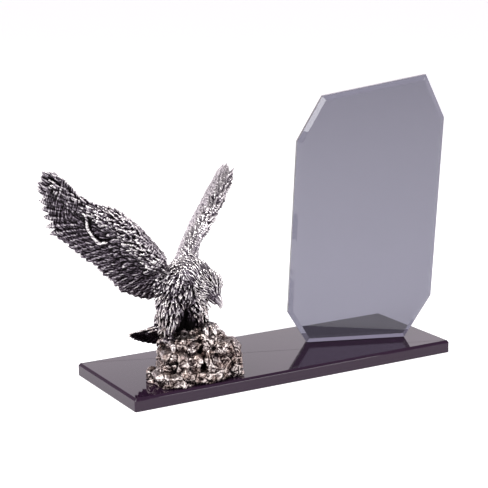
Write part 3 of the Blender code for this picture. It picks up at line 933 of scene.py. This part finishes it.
@dataclass
class Head:
    """The neck under its hackles and the head with its brows, eyes and hooked beak."""

    neck: tuple[Triple, ...] = ((6, 0, 74), (15, -0.5, 79), (22.5, -1, 78.5), (28, -1.5, 74.5))
    neck_radii: tuple[float, ...] = (12, 11.0, 9.0, 7.8)
    head_side: float = -2.0
    beak_start: float = 36.0
    seed: int = 6
    cut_depth: float = 0.34
    swell_height: float = 0.4
    beak_fade: float = 4.0
    beak_share: float = 0.35
    name: str = "eagle_head"
    grain_mm: float = 0.34
    rubbing_and_painted_light: RubbingAndPaintedLight = field(default_factory=lambda: RubbingAndPaintedLight(fine_mm=0.05, middle=0.48))

    def carve_neck(self, carving: Carving) -> None:
        """The neck under narrow pointed hackles."""
        carving.limb(self.neck, self.neck_radii)
        backwards = list(reversed(self.neck))
        radii = list(reversed(self.neck_radii))
        lay_over_limb(carving, backwards, radii, Feather(11.0, 1.5, 0.8, 0.35, small=True),
                      (2.2, 1.4), (-0.3, 0, -0.1), start=0.0, stop=1.0)

    def carve_head(self, carving: Carving) -> None:
        """The skull, the brows, the eyes and the hooked beak with its gape and nostrils."""
        side = self.head_side
        carving.lump((30.5, side, 73.7), (9.7, 7.1, 7.6), (0, 46, 0))
        carving.lump((33.6, side, 69.5), (8.0, 5.1, 5.7), (0, 62, 0))
        lay_over_lump(carving, (30.5, side, 73.7), (9.8, 7.2, 7.7), (0, 46, 0), (-0.75, 0, 0.66),
                      range(30, 160, 8), Feather(9.0, 1.2, 0.65, 0.35, small=True), 1.2)
        lay_over_lump(carving, (33.6, side, 69.5), (8.1, 5.2, 5.8), (0, 62, 0), (-0.6, 0, 0.8),
                      range(58, 130, 9), Feather(6.5, 1.0, 0.6, 0.35, small=True), 1.1)
        upper = [(33.8, side, 68.4), (38.0, side, 65.2), (40.6, side, 61.4), (41.2, side, 57.8)]
        carving.limb(upper, [4.2, 3.5, 2.2, 0.8], flatten=0.86)
        carving.limb([(34.8, side, 70.2), (38.9, side, 66.2), (41.3, side, 61.6)],
                     [1.0, 1.1, 0.6], rings=14, sides=10)
        lower = [(32.5, side, 65.3), (35.3, side, 62.4), (37.0, side, 60.4)]
        carving.limb(lower, [3.2, 2.2, 1.0])
        for way in (1.0, -1.0):
            carving.limb([(28.5, side + way * 4.8, 77.4), (33.5, side + way * 5.1, 74.0),
                          (36.8, side + way * 3.4, 69.4)], [1.2, 1.5, 1.0])
            carving.lump((33.2, side + way * 4.9, 71.2), (1.55, 1.55, 1.55), sides=16)
            carving.limb([(31.4, side + way * 4.9, 69.6), (33.6, side + way * 4.5, 68.6),
                          (35.6, side + way * 3.7, 67.9)], [0.7, 0.8, 0.6], rings=12, sides=8)
            carving.limb([(31.6, side + way * 4.2, 66.8), (34.8, side + way * 3.4, 64.6),
                          (37.6, side + way * 2.2, 61.8)], [0.8, 0.8, 0.5], rings=12, sides=8)
            carving.lump((37.3, side + way * 2.9, 66.6), (0.9, 0.5, 0.6), (0, 40, 0), sides=10)

    def chase(self, places: np.ndarray) -> np.ndarray:
        """How far fine cuts, all running from the beak to the nape, have roughened the skin.

        Args:
            places: Spots on the skin in units of the figure.

        Returns:
            A height for each spot.
        """
        heights = np.empty(len(places))
        for index, (ahead, aside, up) in enumerate(places):
            along = 0.69 * ahead - 0.72 * up
            over = 0.72 * ahead + 0.69 * up
            cut = noise.noise((along / 4.5, aside / 0.8, over / 0.8))
            swell = noise.noise((along / 6.0 + 3.0, aside / 3.5, over / 3.5))
            smooth = min(max((self.beak_start - ahead) / self.beak_fade, self.beak_share), 1.0)
            heights[index] = (self.cut_depth * cut + self.swell_height * swell) * smooth
        return heights

    def carve(self) -> Carving:
        """All the forms of the neck and the head."""
        carving = Carving(self.seed)
        self.carve_neck(carving)
        self.carve_head(carving)
        return carving


@dataclass
class Body:
    """The bird without its wings and head: trunk, legs and tail."""

    trunk: Triple = (3, 0, 68)
    trunk_radii: Triple = (21.5, 13.5, 14.0)
    trunk_turn: Triple = (0, -64, 0)
    back: Triple = (-8, 0, 70)
    tail_root: Triple = (-5, 0, 37.8)
    tail_end: Triple = (-42, 0, 17.6)
    tail_roll: float = 28.0
    seed: int = 5
    cut_depth: float = 0.34
    swell_height: float = 0.5
    name: str = "eagle_body"
    grain_mm: float = 0.48
    # The two marked spots get painted shade in the hollow between the legs.
    rubbing_and_painted_light: RubbingAndPaintedLight = field(default_factory=lambda: RubbingAndPaintedLight(
        middle=0.44, painted_shade_spots=((-87.5, -26.2, 54.3), (-86.0, -30.0, 46.0))))

    def carve_trunk(self, carving: Carving) -> None:
        """The breast, belly and back under short overlapping feathers."""
        carving.lump(self.trunk, self.trunk_radii, self.trunk_turn)
        carving.lump(self.back, (15, 11.5, 10), (0, 20, 0))
        carving.lump((-1, 0, 47), (10, 8.5, 14))
        carving.lump((9, 3, 43), (6, 5.5, 7.5))
        lay_over_lump(carving, self.trunk, (21.8, 13.8, 14.3), self.trunk_turn, (-0.3, 0, -1),
                      range(6, 164, 8), Feather(9.0, 2.1, 0.9, 0.4, small=True), 1.9)
        lay_over_lump(carving, self.back, (15.1, 11.6, 10.1), (0, 20, 0), (-1, 0, -0.3),
                      range(24, 170, 11), Feather(7.6, 3.6, 1.6, 0.45, small=True), 3.1)

    def carve_leg(self, carving: Carving, hip: Triple, heel: Triple, foot: Triple,
                  side: Bird) -> None:
        """A feathered thigh, a scaly shank and a foot whose talons grip the rock.

        Args:
            carving: What it is added to.
            hip: The top of the thigh.
            heel: The joint under it.
            foot: The middle of the foot.
            side: Which leg it is.
        """
        top, joint, sole = (np.array(spot, dtype=float) for spot in (hip, heel, foot))
        middle = (top + joint) / 2.0 + np.array((1.5, side.value, 0.0))
        thigh = [hip, tuple(middle), heel]
        carving.limb(thigh, [9.5, 7.8, 4.4])
        carving.lump(hip, (9.4, 8.2, 9.0))
        lay_over_lump(carving, hip, (9.6, 8.4, 9.2), (0, 90, 0), (-0.1, 0, -1), range(30, 150, 13),
                      Feather(9.0, 1.8, 0.9, 0.4, small=True), 1.8)
        lay_over_limb(carving, thigh, [9.3, 7.6, 4.4], Feather(9.0, 1.8, 0.9, 0.4, small=True),
                      (2.6, 1.7), (0.0, 0.0, -0.2), start=0.0)
        carving.limb([heel, tuple((joint + sole) / 2.0), foot], [3.7, 2.8, 3.2])
        for ring in range(4):
            spot = joint + (sole - joint) * (0.25 + 0.2 * ring)
            carving.lump(tuple(spot), (3.5, 3.5, 0.8), (0, 8, 0), sides=16)
        for spread in (-38.0, 0.0, 38.0, 180.0):
            turn = rotation((0.0, 0.0, spread))
            toe = np.array([(0, 0, 0), (4.5, 0, 1.8), (8.8, 0, 0.6), (11.2, 0, -2.2),
                            (11.6, 0, -4.6)], dtype=float) @ turn.T + sole
            carving.limb([tuple(spot) for spot in toe], [2.6, 2.3, 2.0, 1.4, 0.5], rings=18,
                         sides=12)
            for knuckle in (0.28, 0.52):
                spot = curve_at(toe, np.array([knuckle]))[0]
                carving.lump(tuple(spot), (2.0, 2.4, 2.4), (0, 0, spread), sides=12)

    def carve_tail(self, carving: Carving) -> None:
        """The fanned tail, carried low behind the rock."""
        root = np.array(self.tail_root, dtype=float)
        way = unit(np.array(self.tail_end) - root)
        roll = np.array(Matrix.Rotation(math.radians(self.tail_roll), 3, Vector(way)))
        aside = roll @ np.array((0.0, 1.0, 0.0))
        upper = np.cross(aside, way)
        carving.lump((-7, 0, 44), (12, 8, 7), (0, -35, 0))
        lay_over_lump(carving, (-7, 0, 44), (12.1, 8.1, 7.1), (0, 145, 0), (-0.88, 0, -0.45),
                      range(50, 150, 13), Feather(7.6, 3.4, 1.6, small=True), 3.0)
        for row, (count, reach, spread, width, lift) in enumerate(
                [(9, 38.0, 21.0, 7.4, 0.0), (7, 24.0, 16.0, 6.6, 1.6)]):
            for index in range(count):
                offset = 2.0 * index / (count - 1) - 1.0
                angle = math.radians(spread * offset)
                line = way * math.cos(angle) + aside * math.sin(angle)
                cross = aside * math.cos(angle) - way * math.sin(angle)
                feather = Feather(reach * (1.0 - 0.10 * offset * offset), width, 2.6, 0.7)
                roll_over = 0.12 if offset >= 0 else -0.12
                for face in ((1.0, -1.0) if row else (1.0,)):
                    rise = face * lift - 1.2 * abs(offset)

                    def place(along: np.ndarray, across: np.ndarray, high: np.ndarray,
                              line: np.ndarray = line, cross: np.ndarray = cross,
                              shift: float = 2.5 * offset, rise: float = rise,
                              over: float = roll_over) -> np.ndarray:
                        return (root + line * along[:, None] + cross * (across + shift)[:, None]
                                + upper * (high + rise - across * over)[:, None])

                    feather.lay(carving, place)

    def chase(self, places: np.ndarray) -> np.ndarray:
        """How far the tools have roughened the small feathers.

        Args:
            places: Spots on the skin in units of the figure.

        Returns:
            A height for each spot.
        """
        heights = np.empty(len(places))
        for index, spot in enumerate(places):
            small = noise.noise((spot[0] / 0.9, spot[1] / 0.9, spot[2] / 2.8))
            broad = noise.noise(Vector(spot) / 4.5)
            heights[index] = self.cut_depth * small + self.swell_height * broad
        return heights

    def carve(self) -> Carving:
        """All the body's forms."""
        carving = Carving(self.seed)
        self.carve_trunk(carving)
        self.carve_leg(carving, (1, -8.5, 59), (-1, -10, 41), (1, -10, 27), Bird.RIGHT)
        self.carve_leg(carving, (5, 7.5, 59), (13, 8.5, 47), (17, 8.5, 38), Bird.LEFT)
        self.carve_tail(carving)
        return carving


@dataclass
class Rock:
    """The rock: broken blocks, laid square with the base, that run into each other."""

    blocks: tuple[tuple[Triple, Triple, Triple], ...] = (
        ((8, -12, 4), (34, 16, 7), (0, 0, 0)), ((-2, -9, 11), (16, 14, 12), (0, 8, -25)),
        ((7, 0, 17), (17, 17, 17), (6, -4, 10)), ((26, -11, 13), (15.5, 17, 16), (0, 2, 0)),
        ((19, -8, 25), (12, 12, 11), (8, -4, 20)))
    squareness: float = 5.0
    crag_step: float = 11.0
    crag_depth: float = 3.0
    chip: float = 10.0
    seed: int = 9
    facing: float = FACING
    name: str = "eagle_rock"
    grain_mm: float = 0.42
    rubbing_and_painted_light: RubbingAndPaintedLight = field(default_factory=lambda: RubbingAndPaintedLight(
        broad_mm=0.9, broad_share=0.12, middle=0.52))

    def carve(self) -> Carving:
        """All the rock's blocks."""
        carving = Carving(self.seed)
        square = Matrix.Rotation(-self.facing, 3, "Z")
        for index, (centre, size, turn) in enumerate(self.blocks):
            form = bmesh.new()
            bmesh.ops.create_icosphere(form, subdivisions=6, radius=1.0)
            for vert in form.verts:
                power = sum(abs(part) ** self.squareness for part in vert.co)
                vert.co = vert.co / power ** (1.0 / self.squareness)
            place = Matrix.LocRotScale(Vector(centre), Matrix(rotation(turn).tolist()), Vector(size))
            bmesh.ops.transform(form, matrix=place, verts=form.verts)
            self.roughen(form, 1.7 * index + 0.3)
            bmesh.ops.rotate(form, cent=(0, 0, 0), matrix=square, verts=form.verts)
            mesh = bpy.data.meshes.new("block")
            form.to_mesh(mesh)
            form.free()
            carving.bm.from_mesh(mesh)
            bpy.data.meshes.remove(mesh)
        return carving

    def roughen(self, form: bmesh.types.BMesh, seed: float) -> None:
        """Push a block's surface in and out into broken facets.

        Args:
            form: The block.
            seed: Where its noise starts.
        """
        form.normal_update()
        moves = []
        for vert in form.verts:
            spot = vert.co / self.crag_step + Vector((seed, seed * 0.7, seed * 1.3))
            broad = noise.noise(spot) + 0.5 * noise.noise(spot * 2.1)
            crag = abs(noise.noise(spot * 1.6 + Vector((5.0, 3.0, 1.0))))
            moves.append(vert.normal * self.crag_depth * (broad + 0.8 * crag - 0.2))
        for vert, move in zip(form.verts, moves):
            vert.co += move

    def chase(self, places: np.ndarray) -> np.ndarray:
        """How far the stone is broken away: tilted flat chips with pits between them.

        Args:
            places: Spots on the skin in units of the figure.

        Returns:
            A height for each spot.
        """
        noise.seed_set(self.seed)
        heights = np.empty(len(places))
        for index, place in enumerate(places):
            spot = Vector(place) / self.chip
            spot += noise.noise_vector(spot * 0.8) * 0.35
            near, cells = noise.voronoi(spot)
            level = noise.noise(cells[0] * 3.7)
            tilt = noise.noise_vector(cells[0] * 2.3)
            slope = (spot - cells[0]).dot(tilt)
            crack = math.exp(-(near[1] - near[0]) / 0.09)
            pit = max(0.0, noise.noise(spot * 2.4) - 0.12)
            fine = noise.noise(spot * 7.0)
            sandy = noise.noise(spot * 13.0)
            heights[index] = (1.2 * level + 2.2 * slope - 0.35 * crack - 1.2 * pit + 0.30 * fine
                              + 0.20 * sandy + 0.1)
        return heights


@dataclass
class EagleFigure:
    """The casting: the bird landing on its rock, its wings raised."""

    height: float = 0.1650
    units_high: float = 165.0
    place: Pair = (-0.0893, -0.0172)
    seat: float = 0.0103
    facing: float = FACING
    finish: AntiqueSilver = field(default_factory=AntiqueSilver)
    stone_finish: AntiqueSilver = field(default_factory=lambda: AntiqueSilver(
        silver="#f2e9e4", worn="#7a6d6c", sulphide="#362d2e", grain_mm=0.8, speckle=0.5,
        dullest=0.62, glossiest=0.34))
    # The left wing's higher rub level and lighter gaps are partly a painted highlight on its lit
    # upper side, and the right wing's lower level is partly painted shade on its underside.
    right_wing: Wing = field(default_factory=lambda: Wing(
        Bird.RIGHT, (3, -12, 81), (-29, -102, 164), 2.5, RIGHT_PLAN, seed=11,
        name="eagle_right_wing", grain_mm=0.49, rubbing_and_painted_light=RubbingAndPaintedLight(middle=0.46)))
    left_wing: Wing = field(default_factory=lambda: Wing(
        Bird.LEFT, (1.5, 9.5, 80), (-27, 110, 140), 2.0, LEFT_PLAN, seed=12,
        name="eagle_left_wing", rubbing_and_painted_light=RubbingAndPaintedLight(fine_share=0.11, middle=0.575)))
    head: Head = field(default_factory=Head)
    body: Body = field(default_factory=Body)
    rock: Rock = field(default_factory=Rock)

    def build(self) -> list[bpy.types.Object]:
        """Draw the five skins and dress them.

        Returns:
            The pieces.
        """
        plumage = self.finish.material("antique_silver_plate")
        stone = self.stone_finish.material("antique_silver_stone")
        pieces = []
        for part in (self.right_wing, self.left_wing, self.head, self.body, self.rock):
            piece = self.skin(part)
            part.rubbing_and_painted_light.mark(piece.data)
            piece.data.materials.append(stone if part is self.rock else plumage)
            finish_piece(piece, "eagle_casting")
            pieces.append(piece)
        return pieces

    def skin(self, part: Wing | Head | Body | Rock) -> bpy.types.Object:
        """Draw one closed skin over a part's forms, chase it and set it in its place.

        Args:
            part: The part.

        Returns:
            The piece.
        """
        carving = part.carve()
        mesh = bpy.data.meshes.new("forms")
        carving.bm.to_mesh(mesh)
        carving.bm.free()
        rough = bpy.data.objects.new("forms", mesh)
        bpy.context.scene.collection.objects.link(rough)
        unit_length = self.height / self.units_high
        remesh = rough.modifiers.new("one_skin", "REMESH")
        remesh.mode = "VOXEL"
        remesh.voxel_size = part.grain_mm * MM / unit_length
        graph = bpy.context.evaluated_depsgraph_get()
        drawn = bpy.data.meshes.new_from_object(rough.evaluated_get(graph))
        bpy.data.objects.remove(rough, do_unlink=True)
        bpy.data.meshes.remove(mesh)

        places = rows_of(drawn.vertices, "co").astype(float)
        places += rows_of(drawn.vertex_normals, "vector") * part.chase(places)[:, None]
        seat = Vector((*self.place, self.seat))
        turn = np.array(Matrix.Rotation(self.facing, 3, "Z"))
        placed = places @ turn.T * unit_length + np.array(seat)
        drawn.vertices.foreach_set("co", placed.astype(np.float32).ravel())
        skin = bmesh.new()
        skin.from_mesh(drawn)
        bpy.data.meshes.remove(drawn)
        bmesh.ops.bisect_plane(skin, geom=list(skin.verts) + list(skin.edges) + list(skin.faces),
                               plane_co=seat, plane_no=(0, 0, -1), clear_outer=True)
        rim = [edge for edge in skin.edges if edge.is_boundary]
        if rim:
            bmesh.ops.holes_fill(skin, edges=rim)
        for face in skin.faces:
            face.smooth = True
        return new_piece(part.name, skin)


# The glass

@dataclass
class BasePlate:
    """The black glass slab, its top edge ground to a wide chamfer and polished."""

    length: float = 0.280
    width: float = 0.098
    thickness: float = 0.010
    top_chamfer: float = 0.0022
    arris: float = 0.0005
    polish: float = 0.00025
    finish: BlackGlass = field(default_factory=BlackGlass)

    def build(self) -> bpy.types.Object:
        """Model the slab.

        Returns:
            The piece.
        """
        bm = bmesh.new()
        bmesh.ops.create_cube(bm, size=1.0)
        bmesh.ops.scale(bm, vec=(self.length, self.width, self.thickness), verts=bm.verts)
        bmesh.ops.translate(bm, vec=(0.0, 0.0, self.thickness / 2), verts=bm.verts)
        half = self.thickness / 2
        corners = [e for e in bm.edges if abs(e.verts[0].co.z - e.verts[1].co.z) > half]
        bevel(bm, corners, self.arris * 2, 1)
        top = [e for e in bm.edges if all(v.co.z > self.thickness - self.arris / 2
                                          for v in e.verts)]
        bevel(bm, top, self.top_chamfer, 1)
        foot = [e for e in bm.edges if all(v.co.z < self.arris / 2 for v in e.verts)]
        bevel(bm, foot, self.arris, 1)
        sharp = [e for e in bm.edges if e.calc_face_angle(0.0) > math.radians(20)]
        bevel(bm, sharp, self.polish, 2)
        piece = new_piece("base_slab", bm)
        piece.data.materials.append(self.finish.material())
        finish_piece(piece, "base_plate")
        return piece


@dataclass
class Plaque:
    """The smoked glass plate: eight-sided, on edge, with a facet ground round its front."""

    thickness: float = 0.006
    facet_width: float = 0.0036
    facet_depth: float = 0.0020
    turn: float = math.radians(-19.3)
    foot_middle: Pair = (0.0764, -0.0093)
    seat: float = 0.0103
    foot_length: float = 0.081
    side_lean: float = math.radians(2.65)
    left_side: float = 0.1365
    right_side: float = 0.1435
    left_foot_cut: Pair = (0.0155, 0.0250)
    right_foot_cut: Pair = (0.0212, 0.0337)
    left_top_cut: Pair = (0.0198, 0.0347)
    right_top_cut: Pair = (0.0158, 0.0338)
    polish: float = 0.00015
    finish: SmokedGlass = field(default_factory=SmokedGlass)

    def outline(self) -> list[Vector]:
        """The corners in the plate's own plane, anticlockwise from the foot's left end."""
        lean = math.tan(self.side_lean)
        left = -self.foot_length / 2
        right = self.foot_length / 2
        right_low = Vector((right + self.right_foot_cut[0], self.right_foot_cut[1]))
        right_high = right_low + Vector((self.right_side * lean, self.right_side))
        top_right = right_high + Vector((-self.right_top_cut[0], self.right_top_cut[1]))
        left_low = Vector((left - self.left_foot_cut[0], self.left_foot_cut[1]))
        left_high = left_low + Vector((self.left_side * lean, self.left_side))
        top_left = left_high + Vector(self.left_top_cut)
        return [Vector((left, 0.0)), Vector((right, 0.0)), right_low, right_high, top_right,
                top_left, left_high, left_low]

    def build(self) -> bpy.types.Object:
        """Model the plate.

        Returns:
            The piece.
        """
        bm = bmesh.new()
        face = bm.faces.new([bm.verts.new((p.x, 0.0, p.y)) for p in self.outline()])
        back = bmesh.ops.extrude_face_region(bm, geom=[face])["geom"]
        depth = self.thickness - self.facet_depth
        bmesh.ops.translate(bm, vec=(0.0, depth, 0.0),
                            verts=[v for v in back if isinstance(v, bmesh.types.BMVert)])
        front = [f for f in bm.faces if all(v.co.y < depth / 2 for v in f.verts)]
        bmesh.ops.inset_region(bm, faces=front, thickness=self.facet_width, depth=0.0,
                               use_even_offset=True)
        bmesh.ops.translate(bm, vec=(0.0, -self.facet_depth, 0.0),
                            verts=list(dict.fromkeys(v for f in front for v in f.verts)))
        bmesh.ops.recalc_face_normals(bm, faces=bm.faces)
        sharp = [e for e in bm.edges if e.calc_face_angle(0.0) > math.radians(15)]
        bevel(bm, sharp, self.polish, 2)
        bmesh.ops.rotate(bm, cent=(0, 0, 0), matrix=Matrix.Rotation(self.turn, 3, "Z"),
                         verts=bm.verts)
        bmesh.ops.translate(bm, vec=(*self.foot_middle, self.seat), verts=bm.verts)
        piece = new_piece("plaque_plate", bm)
        piece.data.materials.append(self.finish.material())
        finish_piece(piece, "glass_plaque")
        return piece


def bevel(bm: bmesh.types.BMesh, edges: list[bmesh.types.BMEdge], width: float,
          segments: int) -> None:
    """Bevel edges by the same width on both sides.

    Args:
        bm: What they belong to.
        edges: The edges.
        width: The bevel's width.
        segments: How many faces go across it.
    """
    bmesh.ops.bevel(bm, geom=edges, offset=width, offset_type="OFFSET", segments=segments,
                    profile=0.5, affect="EDGES", material=-1, clamp_overlap=True)


def new_piece(name: str, bm: bmesh.types.BMesh) -> bpy.types.Object:
    """Turn a bmesh into a named object and link it.

    Args:
        name: The object's name.
        bm: Its mesh, which is freed.

    Returns:
        The object.
    """
    mesh = bpy.data.meshes.new(name)
    bm.to_mesh(mesh)
    bm.free()
    piece = bpy.data.objects.new(name, mesh)
    bpy.context.scene.collection.objects.link(piece)
    return piece


def finish_piece(piece: bpy.types.Object, node: str) -> None:
    """Hang a piece on the root body and hide the CAD node that it stands for.

    Args:
        piece: The piece.
        node: The CAD node that it stands for.
    """
    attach(piece, "root")
    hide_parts(node)


# The studio

@dataclass
class Studio:
    """A low white wall round a paper floor, open towards the camera, two softboxes, the camera."""

    camera_place: Triple = (-0.54973, -0.88966, 0.33566)
    camera_yaw: float = math.radians(30.663)
    camera_pitch: float = math.radians(12.919)
    lens: float = 103.28
    sensor: float = 36.0
    floor_size: float = 24.0
    wall: float = 1.36
    wall_top: float = 0.34
    roof: float = 0.30
    opening: float = 0.38
    wall_colour: str = "#fff6ff"

    def build(self) -> None:
        """Set the floor, the tent, the lamps and the camera."""
        self.add_floor()
        self.light_walls()
        self.add_lamp("left_softbox", (-1.25, -0.75, 1.0), (0.6, 0.6), 8.0)
        self.add_lamp("upper_left_softbox", (-0.9, -0.2, 1.2), (0.8, 0.8), 12.0)
        self.add_lamp("right_softbox", (0.9, -1.3, 0.9), (0.5, 0.6), 9.0)
        self.add_camera()
        bpy.context.scene.view_settings.view_transform = "Standard"

    def add_floor(self) -> None:
        """The paper that the award stands on."""
        bm = bmesh.new()
        bmesh.ops.create_grid(bm, x_segments=1, y_segments=1, size=self.floor_size / 2)
        floor = new_piece("floor", bm)
        floor.data.materials.append(StudioPaper().material())

    def light_walls(self) -> None:
        """The studio as the world: white walls, a dimmer roof, a dimmer side at the camera."""
        world = bpy.data.worlds.new("studio_walls")
        bpy.context.scene.world = world
        world.use_nodes = True
        tree = world.node_tree
        shader = tree.nodes["Background"]
        way = add_node(tree, "ShaderNodeTexCoord").outputs["Generated"]
        away = (math.sin(self.camera_yaw), math.cos(self.camera_yaw), 0.0)
        facing = add_node(tree, "ShaderNodeVectorMath", {"operation": "DOT_PRODUCT"}, {
            0: way, 1: away})
        height = add_node(tree, "ShaderNodeSeparateXYZ", {}, {"Vector": way}).outputs["Z"]
        wall = range_node(tree, facing.outputs["Value"], (-0.9, -0.1),
                          (self.opening, self.wall), soft=True)
        above = range_node(tree, height, (self.wall_top - 0.06, self.wall_top + 0.10), soft=True)
        level = add_node(tree, "ShaderNodeMix", {"data_type": "FLOAT"}, {
            "Factor": above, "A": wall, "B": self.roof})
        tree.links.new(level.outputs["Result"], shader.inputs["Strength"])
        shader.inputs["Color"].default_value = linear(self.wall_colour)

    def add_lamp(self, name: str, place: Triple, size: Pair, power: float) -> None:
        """Hang one softbox, turned towards the award.

        Args:
            name: The lamp's name.
            place: Its middle.
            size: Its width and height.
            power: Its power in watts.
        """
        lamp = bpy.data.lights.new(name, "AREA")
        lamp.shape = "RECTANGLE"
        lamp.size, lamp.size_y = size
        lamp.energy = power
        holder = bpy.data.objects.new(name, lamp)
        holder.location = place
        aim = Vector((0.0, 0.0, 0.08)) - Vector(place)
        holder.rotation_euler = aim.to_track_quat("-Z", "Y").to_euler()
        bpy.context.scene.collection.objects.link(holder)

    def add_camera(self) -> None:
        """The camera, at the photograph's angle."""
        camera = bpy.data.cameras.new("camera")
        camera.lens = self.lens
        camera.sensor_width = self.sensor
        camera.clip_start = 0.05
        holder = bpy.data.objects.new("camera", camera)
        holder.location = self.camera_place
        holder.rotation_euler = (math.pi / 2 - self.camera_pitch, 0.0, -self.camera_yaw)
        bpy.context.scene.collection.objects.link(holder)
        bpy.context.scene.camera = holder


def main() -> None:
    """Build the award piece by piece, then the studio round it."""
    logging.basicConfig(level=logging.INFO, format="%(message)s")
    pieces = [BasePlate().build(), Plaque().build(), *EagleFigure().build()]
    for piece in pieces:
        triangles = sum(len(face.vertices) - 2 for face in piece.data.polygons)
        LOG.info("%s: %d triangles", piece.name, triangles)
    Studio().build()


if __name__ == "__main__":
    main()
